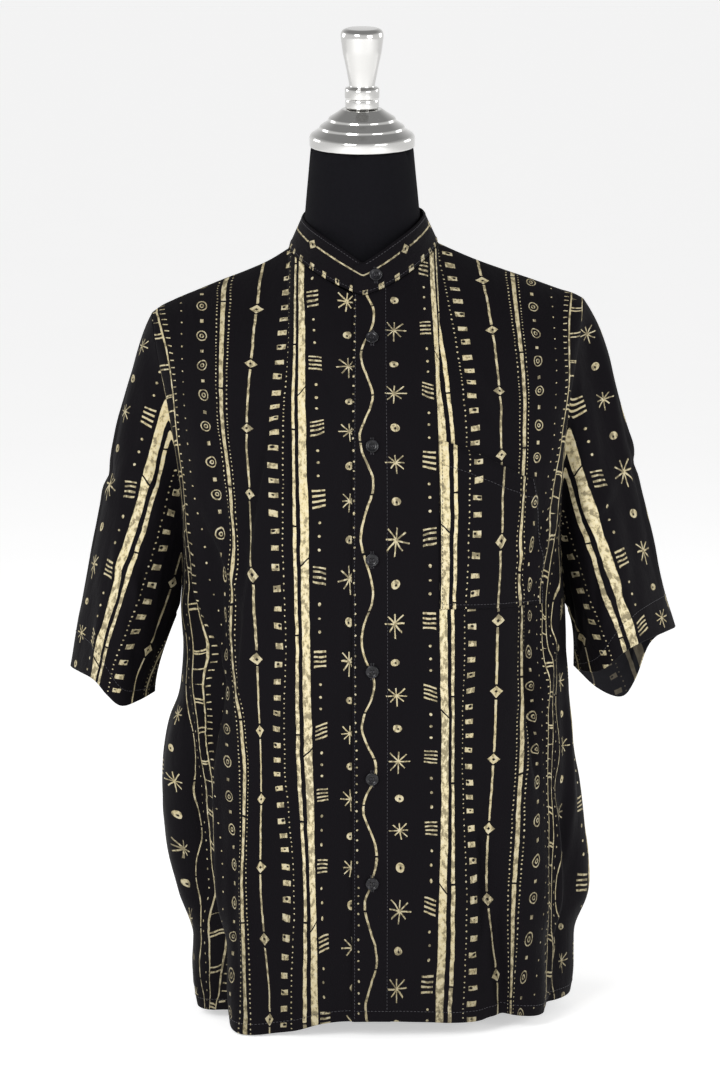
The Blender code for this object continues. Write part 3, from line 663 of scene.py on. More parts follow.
def quads(rows: int, columns: int, closed: bool) -> Array:
    """Quads of a grid, each the four points round one cell.

    Args:
        rows: Number of rows.
        columns: Number of columns.
        closed: Whether the last column meets the first.

    Returns:
        The quads as rows of point numbers.
    """
    number = np.arange(rows * columns).reshape(rows, columns)
    right = np.roll(number, -1, axis=1)
    here, there = (number, right) if closed else (number[:, :-1], right[:, :-1])
    return np.stack([here[:-1], there[:-1], there[1:], here[1:]], -1).reshape(-1, 4)


def border(rows: int, columns: int) -> Array:
    """Point numbers round the border of an open grid, in the quads' own sense."""
    number = np.arange(rows * columns).reshape(rows, columns)
    return np.concatenate([number[0, :-1], number[:-1, -1], number[-1, :0:-1], number[:0:-1, 0]])


@dataclass
class ClothShell:
    """A cloth piece with a wall: an inner and an outer grid joined by a rounded rim."""

    name: str
    inner: Array
    coords: Array
    thickness: Array | float
    closed: bool = False
    outward: float = 1.0
    inset: Array | float = 0.0

    def __post_init__(self) -> None:
        """Work out the normals, then the outer grid and the inner one."""
        self.normals = normals_of(self.inner, self.closed) * self.outward
        wall = np.broadcast_to(np.asarray(self.thickness, float), self.inner.shape[:2])
        back = np.broadcast_to(np.asarray(self.inset, float), self.inner.shape[:2])
        self.outer = self.inner + self.normals * wall[..., None]
        self.under = self.inner - self.normals * back[..., None]

    def rim(self, loop: Array, first: int, sign: int) -> tuple[Array, Array]:
        """Points and quads that round one edge: a middle line pushed out by half the wall.

        Args:
            loop: Point numbers along the edge, closed.
            first: Number that the middle points start at.
            sign: 1 where the loop runs in the quads' own sense.

        Returns:
            The middle points, and the quads.
        """
        count = self.inner.shape[0] * self.inner.shape[1]
        outer = self.outer.reshape(-1, 3)[loop]
        under = self.under.reshape(-1, 3)[loop]
        ahead = np.roll(outer, -1, axis=0) - np.roll(outer, 1, axis=0)
        side = np.cross(unit(ahead), unit(outer - under)) * sign * self.outward
        reach = np.linalg.norm(outer - under, axis=1, keepdims=True) * 0.45
        middle = (outer + under) / 2 + unit(side) * reach
        place = first + np.arange(len(loop))
        following = np.roll(loop, -1)
        onward = np.roll(place, -1)
        top = np.stack([loop, place, onward, following], -1)
        low = np.stack([place, loop + count, following + count, onward], -1)
        if sign < 0:
            top = top[:, ::-1]
            low = low[:, ::-1]
        return middle, np.concatenate([top, low])

    def build(self, face: Material, reverse: Material) -> Object:
        """Make the object.

        Args:
            face: Finish of the right side.
            reverse: Finish of the wrong side.

        Returns:
            The object.
        """
        rows, columns = self.inner.shape[:2]
        count = rows * columns
        outside = quads(rows, columns, self.closed)
        points = [self.outer.reshape(-1, 3), self.under.reshape(-1, 3)]
        faces = [outside, outside[:, ::-1] + count]
        kinds = [np.zeros(len(outside)), np.ones(len(outside))]
        if self.closed:
            number = np.arange(count).reshape(rows, columns)
            edges = [(number[0], 1), (number[-1], -1)]
        else:
            edges = [(border(rows, columns), 1)]
        flat = self.coords.reshape(-1, 2)
        spots = [flat, flat]
        first = 2 * count
        for loop, sign in edges:
            middle, rim = self.rim(loop, first, sign)
            points.append(middle)
            faces.append(rim)
            kinds.append(np.zeros(len(rim)))
            spots.append(flat[loop])
            first += len(loop)
        points, faces, spots, kinds = map(np.concatenate, (points, faces, spots, kinds))
        if self.outward < 0:
            faces = faces[:, ::-1]
        return make_piece(self.name, points, faces, [face, reverse], spots, kinds)


@dataclass(frozen=True)
class BodyDrape:
    """The shape of the shirt body, worn loose on the form."""

    square: float = BODY_SQUARE

    @staticmethod
    def column(name: str) -> list[float]:
        """One named column of the body table."""
        return [getattr(row, name) for row in BODY]

    def ring(self, angle: Array, z: Array) -> Array:
        """Points of the unfolded body: a rounded square in plan whose four reaches change with height.

        Args:
            angle: Angle round from the centre front to the wearer's left.
            z: Heights.

        Returns:
            The points.
        """
        reaches = [smooth(z, self.column("z"), self.column(name)) for name in Section._fields[1:]]
        right, left, front, back = reaches
        side = np.where(np.sin(angle) > 0, left, right)
        depth = np.where(np.cos(angle) > 0, front, back)
        flat = np.abs(np.cos(angle) / depth) ** self.square + np.abs(np.sin(angle) / side) ** self.square
        reach = flat ** (-1 / self.square)
        x = CENTRE_X * np.cos(angle) + reach * np.sin(angle)
        return np.stack([x, -reach * np.cos(angle), z + 0 * angle], -1)

    @staticmethod
    def neckline(turn: Array) -> Array:
        """The neck seam: an ellipse in plan whose front dips to a V and whose back stands higher.

        Args:
            turn: Turn round the neck from the centre front.

        Returns:
            The points.
        """
        fore = np.cos(turn) > 0
        lean = np.abs(np.cos(turn)) ** np.where(fore, 1.15, 0.8)
        y = np.where(fore, NECK_FRONT_Y, NECK_BACK_Y) * lean
        point = NECK_POINT_Z + NECK_TILT_Z * np.sin(turn)
        dip = np.where(fore, 0.3 * lean + 0.7 * (1 - np.abs(np.sin(turn)) ** 1.2), lean)
        z = point + (np.where(fore, NECK_FRONT_Z, NECK_BACK_Z) - point) * dip
        return np.stack([NECK_MIDDLE_X + NECK_HALF_X * np.sin(turn), y, z], -1)

    def top_edge(self, x: Array, side: int, front: bool) -> Array:
        """Where each point of the armpit ring ends at the top: on the neckline or the shoulder seam.

        Args:
            x: The ring's x, on one side.
            side: 1 for the wearer's left, -1 for the right.
            front: Whether the ring is the front half.

        Returns:
            The points.
        """
        neck_x = abs(NECK_MIDDLE_X + side * NECK_HALF_X)
        turn = np.arcsin(np.clip((x - NECK_MIDDLE_X) / NECK_HALF_X, -1, 1))
        neck = self.neckline(turn if front else pi - turn)
        left = side > 0
        knots = SHOULDER_LEFT_X if left else SHOULDER_RIGHT_X
        heights = SHOULDER_LEFT_Z if left else SHOULDER_RIGHT_Z
        share = (np.abs(x) - neck_x) / (np.max(np.abs(x)) - neck_x)
        reach = neck_x + np.clip(share, 0, 1) * (knots[-1] - neck_x)
        seam = np.stack([side * reach, TIP_Y * ease(share), smooth(reach, knots, heights)], -1)
        return np.where((share > 0)[:, None], seam, neck)

    def upper_rows(self, ring: Array, front: bool, shares: Array) -> Array:
        """Rows from the armpit ring to the neckline and shoulder seam, each column a Bezier curve.

        Args:
            ring: Half of the armpit ring.
            front: Whether it is the front half.
            shares: Shares of the rows along each curve.

        Returns:
            The points in rows.
        """
        x = ring[:, 0]
        half = len(x) // 2
        top = np.concatenate([self.top_edge(x[:half], -1, front), self.top_edge(x[half:], 1, front)])
        way = -1.0 if front else 1.0
        outness = np.clip(np.abs(x - CENTRE_X * 0.5) / 0.19, 0, 1)
        neck_share = np.sqrt(np.clip(1 - ((x - NECK_MIDDLE_X) / NECK_HALF_X) ** 2, 0, 1))
        beyond = ease((np.abs(x) - NECK_HALF_X) / 0.06)
        rise = top[:, 2] - ring[:, 2]
        edge = outness**6
        inward = -np.sign(x) * 0.022 * edge
        first = ring + np.stack([inward, way * (0.004 + 0.046 * edge), rise * 0.46], -1)
        slope = 0.042 - 0.008 * beyond if front else 0.014 + 0.020 * beyond
        lean_z = -(slope + (0.034 if front else 0.062) * neck_share - 0.012 * outness**4)
        second = top + np.stack([0 * x, way * (0.082 - 0.030 * neck_share), lean_z], -1)
        shares = shares[:, None]
        f = shares - 0.070 * np.sin(pi * shares) ** 2 * ease((outness - 0.35) / 0.55)
        return bezier(f[..., None], ring, first, second, top)

    @staticmethod
    def fold_shift(angle_deg: Array, z: Array, folds: Sequence[Fold]) -> Array:
        """How far the folds move the cloth out: a bell across each fold that grows down its height.

        Args:
            angle_deg: Angle of each point.
            z: Height of each point.
            folds: The folds.

        Returns:
            Reach outward of each point.
        """
        shift = np.zeros(np.broadcast(angle_deg, z).shape)
        for fold in folds:
            share = np.clip((fold.top_z - z) / (fold.top_z - fold.low_z), 0, 1)
            middle = fold.top_deg + (fold.low_deg - fold.top_deg) * share
            swell = ease(share / 0.45)
            if fold.low_z > 0:
                swell = swell * ease((1 - share) / 0.35)
            shift += fold.out * swell * np.exp(-(((angle_deg - middle) / fold.half_deg) ** 2))
        return shift

    @staticmethod
    def soften(grid: Array, row: int, rounds: int = 24) -> Array:
        """Ease the bend where two stretches of rows meet, by averaging neighbouring rows near it.

        Args:
            grid: The rows.
            row: The row of the bend.
            rounds: How many times the rows are averaged.

        Returns:
            The softened rows.
        """
        weight = 0.5 * np.exp(-(((np.arange(len(grid)) - row) / 7.0) ** 2))[1:-1, None, None]
        for _ in range(rounds):
            middle = (grid[:-2] + grid[2:]) / 2
            grid = np.concatenate([grid[:1], grid[1:-1] * (1 - weight) + middle * weight, grid[-1:]])
        return grid

    def half(self, front: bool) -> tuple[Array, Array]:
        """Dense grid of the front or back with its folds, creases and ripples.

        Args:
            front: Whether the front half is wanted.

        Returns:
            The points, and the distance across from the centre line, positive to the wearer's left.
        """
        first, last = (-90, 90) if front else (90, 270)
        degrees = np.linspace(first, last, DENSE_ANGLES)
        angle = np.radians(degrees)
        wrapped = np.where(degrees > 180, degrees - 360, degrees)
        hem = smooth(wrapped, HEM_DEG, HEM_Z)
        lower = self.ring(angle, hem + (ARMPIT_Z - hem) * row_shares_below()[:, None])
        if front:
            upper = self.upper_rows(lower[-1], True, row_shares_above())
        else:
            upper = self.upper_rows(lower[-1][::-1], False, row_shares_above())[:, ::-1]
        grid = self.soften(np.concatenate([lower, upper]), len(lower) - 1)
        spread = np.broadcast_to(degrees, grid.shape[:2])
        shift = self.fold_shift(spread, grid[:, :, 2], FRONT_FOLDS if front else BACK_FOLDS)
        edge = ease(np.minimum(degrees - first, last - degrees) / 9.0)
        grid = grid + normals_of(grid) * (shift * edge)[:, :, None]
        across = lengths_along(grid, 1)
        across = across - across[:, [DENSE_ANGLES // 2]]
        if not front:
            across = -across
        lift = crease_height(across, grid[:, :, 2], FRONT_CREASES if front else BACK_CREASES)
        lift = lift + ripple_height(across, grid[:, :, 2], 0.4 if front else 2.3)
        top = ease((lengths_along(grid, 0)[-1] - lengths_along(grid, 0)) / 0.10)
        hush = ease((0.72 - grid[:, :, 2]) / 0.12)
        grid = grid + normals_of(grid) * (lift * edge * top * hush)[:, :, None]
        return grid, across


def row_shares_below() -> Array:
    """Shares of the rows from the hem to the armpit, close together over the turned hem."""
    height = ARMPIT_Z - 0.016
    above = np.linspace(HEM_STEPS[-1], height, BODY_ROWS)[1:]
    return np.concatenate([HEM_STEPS, above]) / height


def row_shares_above() -> Array:
    """Shares of the rows from the armpit to the top, a few between each pair of the solid's rows."""
    steps = len(UPPER_SHARES) - 1
    at = np.linspace(0, steps, steps * ROWS_PER_STEP + 1)[1:]
    return smooth(at, np.arange(steps + 1), UPPER_SHARES)


ROWS_BELOW = len(row_shares_below()) - 1


@dataclass
class BodyPanel:
    """One panel of the body: its grid, and its cloth coordinates, the print's place and run."""

    grid: Array
    coords: Array


@dataclass
class BodyPanels:
    """Cuts the draped body into its fronts and back."""

    drape: BodyDrape = field(default_factory=BodyDrape)

    def __post_init__(self) -> None:
        """Work out both halves once."""
        self.front_half = self.drape.half(True)
        self.back_half = self.drape.half(False)

    @staticmethod
    def neck_column(armpit_row: Array, side: int) -> int:
        """Number of the dense column that runs up to the neck point on one side."""
        return int(np.argmin(np.abs(armpit_row[:, 0] - NECK_MIDDLE_X - side * NECK_HALF_X)))

    @staticmethod
    def run_of(grid: Array) -> Array:
        """Cloth length up each column, equal to the height at the armpit."""
        length = lengths_along(grid, 0)
        return ARMPIT_Z + length - length[ROWS_BELOW]

    @staticmethod
    def trim(grid: Array) -> Array:
        """Draw the top row back by a seam gap."""
        grid = grid.copy()
        grid[-1, :, :3] -= unit(grid[-1, :, :3] - grid[-2, :, :3]) * SEAM_GAP
        return grid

    def front(self, side: Side) -> BodyPanel:
        """One front, from its free edge to its side seam and armhole.

        Args:
            side: The wearer's side.

        Returns:
            The panel.
        """
        sign = side.value
        points, across = self.front_half
        stripes = STRIPES_LEFT if side is Side.LEFT else STRIPES_RIGHT
        place = print_place(points[:, ::sign], stripes, (across * sign)[:, ::sign])[:, ::sign]
        run = self.run_of(points) + (PRINT_SHIFT_LEFT if sign > 0 else PRINT_SHIFT_RIGHT)
        rows = np.concatenate([points, place[..., None], run[..., None]], -1)
        lengths = lengths_along(points, 1)
        middle = lengths[:, DENSE_ANGLES // 2]
        neck = lengths[:, self.neck_column(points[ROWS_BELOW], sign)]
        free = middle - OVERLAP_UPPER if sign > 0 else middle + OVERLAP_UNDER
        stop = lengths[:, -1] - SEAM_GAP / 2 if sign > 0 else lengths[:, 0] + SEAM_GAP / 2
        inner = np.linspace(free, neck, INNER_COLUMNS + 1, axis=1)[:, :-1]
        outer = np.linspace(neck, stop, OUTER_COLUMNS + 1, axis=1)
        made = self.trim(resample(rows, lengths, np.concatenate([inner, outer], axis=1)))
        grid = made[..., :3]
        if side is Side.RIGHT:
            grid = self.tuck_under(grid)
        return BodyPanel(grid, made[..., 3:])

    @staticmethod
    def tuck_under(grid: Array) -> Array:
        """Move the under front in by one layer where the upper front lies on it."""
        share = 1 - ease((lengths_along(grid, 1) - OVERLAP_UNDER - OVERLAP_UPPER - 0.004) / 0.030)
        return grid + normals_of(grid) * (share * (LAYER_STEP + SEAM_GAP))[:, :, None]

    def back(self) -> BodyPanel:
        """The back, from the wearer's left side seam round to the right one.

        Returns:
            The panel.
        """
        points, across = self.back_half
        run = self.run_of(points)
        hold = np.where(np.arange(len(points)) < ROWS_BELOW, SEAM_HOLD, 0)[:, None]
        ends = np.where(across > 0, across[:, :1], across[:, -1:])
        short = hold * (ends[[ROWS_BELOW]] - ends)
        place = across + BACK_PRINT_START + short * ease((across / ends - 0.5) / 0.5)
        rows = np.concatenate([points, place[..., None], run[..., None]], -1)
        lengths = lengths_along(points, 1)
        left = lengths[:, self.neck_column(points[ROWS_BELOW], 1)]
        right = lengths[:, self.neck_column(points[ROWS_BELOW], -1)]
        start = np.full(len(points), SEAM_GAP / 2)
        one = np.linspace(start, left, OUTER_COLUMNS + 1, axis=1)[:, :-1]
        two = np.linspace(left, right, 2 * INNER_COLUMNS + 1, axis=1)[:, :-1]
        three = np.linspace(right, lengths[:, -1] - SEAM_GAP / 2, OUTER_COLUMNS + 1, axis=1)
        made = self.trim(resample(rows, lengths, np.concatenate([one, two, three], axis=1)))
        return BodyPanel(made[..., :3], made[..., 3:])


@dataclass
class SleeveShape:
    """A short sleeve on a dropped shoulder: each column a Bezier from the armhole to the hem."""

    side: Side
    hem_table: Sequence[HemPoint]
    run_way: tuple[float, float, float]
    spread: float
    seed: float
    print_fit: tuple[float, float]

    def armhole(self, front: Array, back: Array) -> tuple[Array, Array, Array]:
        """The armhole from the armpit up the front and down the back.

        Args:
            front: Grid of the front.
            back: Grid of the back.

        Returns:
            Points, ways out of the panels, and panel normals.
        """
        side = self.side.value
        rows = slice(ROWS_BELOW, None)
        at, beside = (0, 1) if side > 0 else (-1, -2)
        front_normal = normals_of(front)[rows, -1] * side
        back_normal = normals_of(back)[rows, at]
        front_edge = front[rows, -1]
        back_edge = back[rows, at]
        front_way = unit(front_edge - front[rows, -2])
        back_way = unit(back_edge - back[rows, beside])
        tip = (front_edge[-1] + back_edge[-1]) / 2
        pit = (front_edge[0] + back_edge[0]) / 2
        out = np.array([side * 1.0, 0.0, 0.0])
        down = unit(np.array([side * 0.87, 0.0, -0.49]))
        up = unit(np.array([side * 0.49, 0.0, 0.87]))
        loop = np.concatenate([[pit], front_edge[1:-1], [tip], back_edge[1:-1][::-1]])
        lift = np.array([0.0, 0.0, 1.0])
        ways = np.concatenate([[lift], front_way[1:-1], [down], back_way[1:-1][::-1]])
        normals = np.concatenate([[out], front_normal[1:-1], [up], back_normal[1:-1][::-1]])
        return loop, ways, normals

    def grid(self, front: Array, back: Array) -> tuple[Array, Array]:
        """Rings of the sleeve with its creases.

        Args:
            front: Grid of the front.
            back: Grid of the back.

        Returns:
            The grid, and the cloth coordinates of each point.
        """
        loop, ways, normals = self.armhole(front, back)
        turn = np.linspace(0, 360, len(loop) + 1)[:-1]
        turns = [row.turn for row in self.hem_table]
        hem = np.stack([smooth(turn, turns, [getattr(p, k) for p in self.hem_table]) for k in "xyz"], -1)
        low = (1 + np.cos(np.radians(turn)))[:, None] / 2
        fore = np.sin(np.radians(turn))[:, None]
        run = unit(np.array(self.run_way) * (1 - low**2) + np.array([0.0, 0.0, -1.0]) * low**2)
        length = np.linalg.norm(hem - loop, axis=1)[:, None]
        side = self.side.value
        under = ease((low - 0.90) / 0.08)
        leave = np.array([side * 0.75, 0.0, -0.66]) * under + ways * (1 - under)
        leave = unit(leave + np.array([side * 0.9, 0.0, -0.3]) * low**2)
        first = loop + leave * (self.spread - 0.014 * low) + run * length * 0.10
        first = first + np.array([0.0, -0.006, 0.0]) * fore
        second = hem - run * length * (0.42 - 0.12 * low)
        edge = unit(np.roll(loop, -1, axis=0) - np.roll(loop, 1, axis=0))
        toward = 0.25 * (first - loop) + 0.05 * (second - loop)
        toward = unit(toward - np.sum(toward * edge, axis=1, keepdims=True) * edge)
        bend = np.clip(np.sum(toward * normals, axis=1, keepdims=True), 0, 1)
        start = loop + ways * (SEAM_GAP * 1.5 + 2 * WALL * bend) + normals * (WALL + LAYER_STEP) * low**3
        grid = bezier(self.shares()[:, None, None], start, first, second, hem)
        down = lengths_along(grid, 0)
        outer = len(loop) // 2
        around = lengths_along(np.concatenate([grid, grid[:, :1]], axis=1), 1)
        whole = around[:, -1:]
        across = around[:, :-1] - around[:, [outer]]
        creases = [Crease(c.across_a * side, c.height_a, c.across_b * side, *c[3:]) for c in SLEEVE_CREASES]
        lift = crease_height(-across, down, creases) + ripple_height(across, down, self.seed)
        ends = ease(down / 0.05) * ease((down[-1] - down + 0.012) / 0.05)
        seam = ease(np.minimum(around[:, :-1], whole - around[:, :-1]) / 0.02)
        outward = -normals_of(grid, True) * side
        coords = self.cloth_coords(grid, outward, outer)
        return grid + outward * (lift * ends * seam)[:, :, None], coords

    def cloth_coords(self, grid: Array, normals: Array, outer: int) -> Array:
        """Print coordinates: steps along the rings, split into their parts across and along the sleeve.

        Args:
            grid: The sleeve's rings.
            normals: Its normals.
            outer: Number of the column on the outer fold, where both ways round start.

        Returns:
            Place across and run along of each point.
        """
        count = grid.shape[1]
        order = (np.arange(count) + outer) % count
        rings, facing = grid[:, order], normals[:, order]
        axis = unit(rings[-1, 0] - rings[0, 0])
        along = unit(axis - np.sum(facing * axis, axis=-1, keepdims=True) * facing)
        steps = np.roll(rings, -1, axis=1) - rings
        parts = []
        for way in (np.cross(along, facing), along):
            each = np.sum(steps * (way + np.roll(way, -1, axis=1)) / 2, axis=-1)
            total = np.cumsum(each, axis=1)
            walked = total - each
            parts.append(np.where(np.arange(count) <= count // 2, walked, walked - total[:, -1:]))
        fall = np.sum(np.diff(rings[:, 0], axis=0) * along[:-1, 0], axis=-1)
        down = parts[1] + np.concatenate([[0.0], np.cumsum(fall)])[:, None]
        coords = np.empty(grid.shape[:2] + (2,))
        share, start = self.print_fit
        coords[:, order] = np.stack([np.abs(parts[0]) * share + start, ARMPIT_Z + 0.24 - down], -1)
        return coords

    @staticmethod
    def shares() -> Array:
        """Shares of the rings from armhole to hem, closer together over the turned hem."""
        body = np.linspace(0, SLEEVE_HEM_SHARE, SLEEVE_ROWS - SLEEVE_HEM_ROWS, endpoint=False)
        return np.concatenate([body, np.linspace(SLEEVE_HEM_SHARE, 1.0, SLEEVE_HEM_ROWS)])


@dataclass
class CollarShape:
    """The stand collar: a band on the neck seam that leans in and is rounded at its ends."""

    columns: int = COLLAR_COLUMNS
    rows: int = 16
    crowding: float = 0.035
    lean_front: float = 0.33
    lean_side: float = 0.14
    slant_height: float = 0.18
    under_short: float = 0.006
    cover_ease: float = 0.028
    print_middle: float = 0.1225
    print_rise: float = 0.0205
    print_stretch: float = 1.37
    print_run: float = 0.015

    def grid(self) -> tuple[Array, Array]:
        """Grid of the band, from its upper end in front round the neck to its under end.

        Returns:
            The grid, and the cloth coordinates of each point.
        """
        turns = np.linspace(-0.6, 2 * pi + 0.6, 961)
        loop = BodyDrape.neckline(turns)
        lengths = lengths_along(loop[None], 1)[0]
        start = np.interp(0.0, turns, lengths) + CENTRE_X - NECK_MIDDLE_X - OVERLAP_UPPER
        stop = np.interp(2 * pi, turns, lengths) + CENTRE_X - NECK_MIDDLE_X
        stop = stop + OVERLAP_UNDER - self.under_short
        share = np.linspace(0, 1, self.columns + 1)
        share = share + self.crowding * np.sin(2 * pi * share) * -1 / (2 * pi) * 4
        wanted = start + (stop - start) * share
        base = np.stack([np.interp(wanted, lengths, loop[:, k]) for k in range(3)], -1)
        inward = unit(np.stack([-base[:, 0], -base[:, 1] * 1.1, 0 * base[:, 0]], -1))
        sideways = np.abs(base[:, 0]) / NECK_HALF_X
        lean = (self.lean_front + self.lean_side * sideways**2)[:, None]
        up = unit(np.array([0, 0, 1.0]) + inward * lean)
        from_end = np.minimum(wanted - start, stop - wanted)
        notch = np.clip(COLLAR_CORNER - from_end, 0, COLLAR_CORNER)
        arch = np.where(base[:, 1] < 0, np.sin(pi * np.clip(sideways, 0, 1)), 0)
        slant = 1 + self.slant_height * arch
        height = COLLAR_HEIGHT * slant - COLLAR_CORNER + np.sqrt(COLLAR_CORNER**2 - notch**2)
        overlap = OVERLAP_UPPER + OVERLAP_UNDER + self.cover_ease
        covered = ease((wanted - stop + overlap) / self.cover_ease)
        base = base + inward * (covered * (LAYER_STEP + SEAM_GAP))[:, None]
        f = np.linspace(0, 1, self.rows)[:, None]
        rise = LAYER_STEP + SEAM_GAP + height * f
        grid = base + up * rise[..., None]
        place = self.print_middle + (rise / slant - self.print_rise) * self.print_stretch
        return grid, np.stack([place, np.broadcast_to(wanted + self.print_run, place.shape)], -1)


def cut_pocket(panel: BodyPanel) -> tuple[Array, Array]:
    """Grid of the chest pocket: the front's own points moved out by a layer, slack at its open top.

    Args:
        panel: The left front.

    Returns:
        The grid, and its cloth coordinates, a little off the front's own.
    """
    first = ROWS_BELOW + POCKET_FIRST_STEP * ROWS_PER_STEP
    last = ROWS_BELOW + POCKET_LAST_STEP * ROWS_PER_STEP
    side = INNER_COLUMNS + round(OUTER_COLUMNS * POCKET_COLUMN_SHARE)
    window = (slice(first, last + 1), slice(INNER_COLUMNS, side + 1))
    part = panel.grid[window]
    rows, columns = part.shape[:2]
    up = np.linspace(0, 1, rows)[:, None]
    out = np.linspace(0, 1, columns)[None, :]
    slack = 0.0030 * np.sin(pi * out) * up**2
    grid = part + normals_of(panel.grid)[window] * (LAYER_STEP + SEAM_GAP + slack)[:, :, None]
    coords = panel.coords[window] + np.array(POCKET_PRINT_SHIFT)
    coords[..., 0] += 0.012 * out**2 * (1 - up)
    return grid, coords


class Term:
    """A value in a shader. Python arithmetic on it adds Math nodes to its tree."""

    def __init__(self, tree: NodeTree, socket: NodeSocket) -> None:
        """Wrap a socket of a tree."""
        self.tree = tree
        self.socket = socket

    def math(self, operation: str, *others: Any, clamp: bool = False) -> "Term":
        """Add one Math node.

        Args:
            operation: The node's operation.
            others: Its further values, numbers or terms.
            clamp: Whether its result is held between 0 and 1.

        Returns:
            The result.
        """
        node = self.tree.nodes.new("ShaderNodeMath")
        node.operation = operation
        node.use_clamp = clamp
        for number, value in enumerate((self, *others)):
            if isinstance(value, Term):
                self.tree.links.new(value.socket, node.inputs[number])
            else:
                node.inputs[number].default_value = value
        return Term(self.tree, node.outputs[0])

    def __add__(self, other: Any) -> "Term":
        """Sum."""
        return self.math("ADD", other)

    __radd__ = __add__

    def __sub__(self, other: Any) -> "Term":
        """Difference."""
        return self.math("SUBTRACT", other)

    def __rsub__(self, other: Any) -> "Term":
        """Difference with the number first."""
        return self.math("MULTIPLY", -1.0) + other

    def __mul__(self, other: Any) -> "Term":
        """Product."""
        return self.math("MULTIPLY", other)

    __rmul__ = __mul__

    def __truediv__(self, other: Any) -> "Term":
        """Quotient."""
        return self.math("DIVIDE", other)

    def __abs__(self) -> "Term":
        """Size without sign."""
        return self.math("ABSOLUTE")

    def sine(self) -> "Term":
        """Sine."""
        return self.math("SINE")

    def wrap(self, pitch: float) -> "Term":
        """Distance from the nearest multiple of a pitch."""
        return self.math("WRAP", pitch / 2, -pitch / 2)

    def cell(self, pitch: float) -> "Term":
        """Number of the nearest multiple of a pitch."""
        return (self / pitch + 0.5).math("FLOOR")

    def inside(self, half: Any, soft: float = 0.25) -> "Term":
        """1 where the size of the value is under a half width, with a soft edge."""
        gap = (abs(self) * -1.0 + half) if isinstance(half, Term) else half - abs(self)
        return (gap / soft).math("ADD", 0.5, clamp=True)

    def greatest(self, other: "Term") -> "Term":
        """The greater of two values."""
        return self.math("MAXIMUM", other)

    def root_with(self, other: "Term") -> "Term":
        """Length of the two values taken as a right angle's sides."""
        return (self * self + other * other).math("SQRT")


class ShaderTree:
    """Adds nodes to one material's tree."""

    def __init__(self, name: str) -> None:
        """Start a material with its own Principled shader."""
        self.material = bpy.data.materials.new(name)
        self.material.use_nodes = True
        self.tree = self.material.node_tree
        self.shader = self.tree.nodes["Principled BSDF"]

    def node(self, kind: str, settings: dict[str, Any], sockets: dict[Any, Any]) -> Node:
        """Add any node.

        Args:
            kind: The node's type.
            settings: Its own properties.
            sockets: Values, terms or sockets for its inputs.

        Returns:
            The node.
        """
        made = self.tree.nodes.new(kind)
        for key, value in settings.items():
            setattr(made, key, value)
        for key, value in sockets.items():
            self.feed(made.inputs[key], value)
        return made

    def feed(self, socket: NodeSocket, value: Any) -> None:
        """Give a socket a number, a colour, a term or another socket."""
        if isinstance(value, Term):
            self.tree.links.new(value.socket, socket)
        elif isinstance(value, NodeSocket):
            self.tree.links.new(value, socket)
        else:
            socket.default_value = value

    def term(self, socket: NodeSocket) -> Term:
        """Wrap a socket of this tree."""
        return Term(self.tree, socket)

    def noise(self, vector: Any, scale: float, detail: float = 2.0, rough: float = 0.5) -> Node:
        """A noise texture read at a vector."""
        values = {"Vector": vector, "Scale": scale, "Detail": detail, "Roughness": rough}
        return self.node("ShaderNodeTexNoise", {}, values)

    def vector(self, x: Any, y: Any, z: Any = 0.0) -> NodeSocket:
        """A vector from three values."""
        return self.node("ShaderNodeCombineXYZ", {}, {"X": x, "Y": y, "Z": z}).outputs[0]

    def mix(self, share: Any, first: Any, second: Any) -> NodeSocket:
        """Mix two colours."""
        made = self.tree.nodes.new("ShaderNodeMix")
        made.data_type = "RGBA"
        for number, value in ((0, share), (6, first), (7, second)):
            self.feed(made.inputs[number], value)
        return made.outputs[2]

    def cloth_coords(self) -> tuple[Term, Term]:
        """The piece's cloth coordinates in millimetres: place across and run along."""
        coords = self.node("ShaderNodeUVMap", {"uv_map": "cloth"}, {})
        parts = self.node("ShaderNodeSeparateXYZ", {}, {"Vector": coords.outputs[0]})
        return self.term(parts.outputs[0]) * 1000.0, self.term(parts.outputs[1]) * 1000.0

    def object_coords(self) -> NodeSocket:
        """Object coordinates."""
        return self.node("ShaderNodeTexCoord", {}, {}).outputs["Object"]

    def bump(self, height: Any, distance: float, strength: float, below: Any = None) -> NodeSocket:
        """A bump from a height, laid on another normal if one is given."""
        values = {"Height": height, "Distance": distance, "Strength": strength}
        if below is not None:
            values["Normal"] = below
        return self.node("ShaderNodeBump", {}, values).outputs[0]

    def surface(self, **values: Any) -> Material:
        """Set the shader's sockets by their names with spaces as underscores."""
        for key, value in values.items():
            self.feed(self.shader.inputs[key.replace("_", " ")], value)
        return self.material


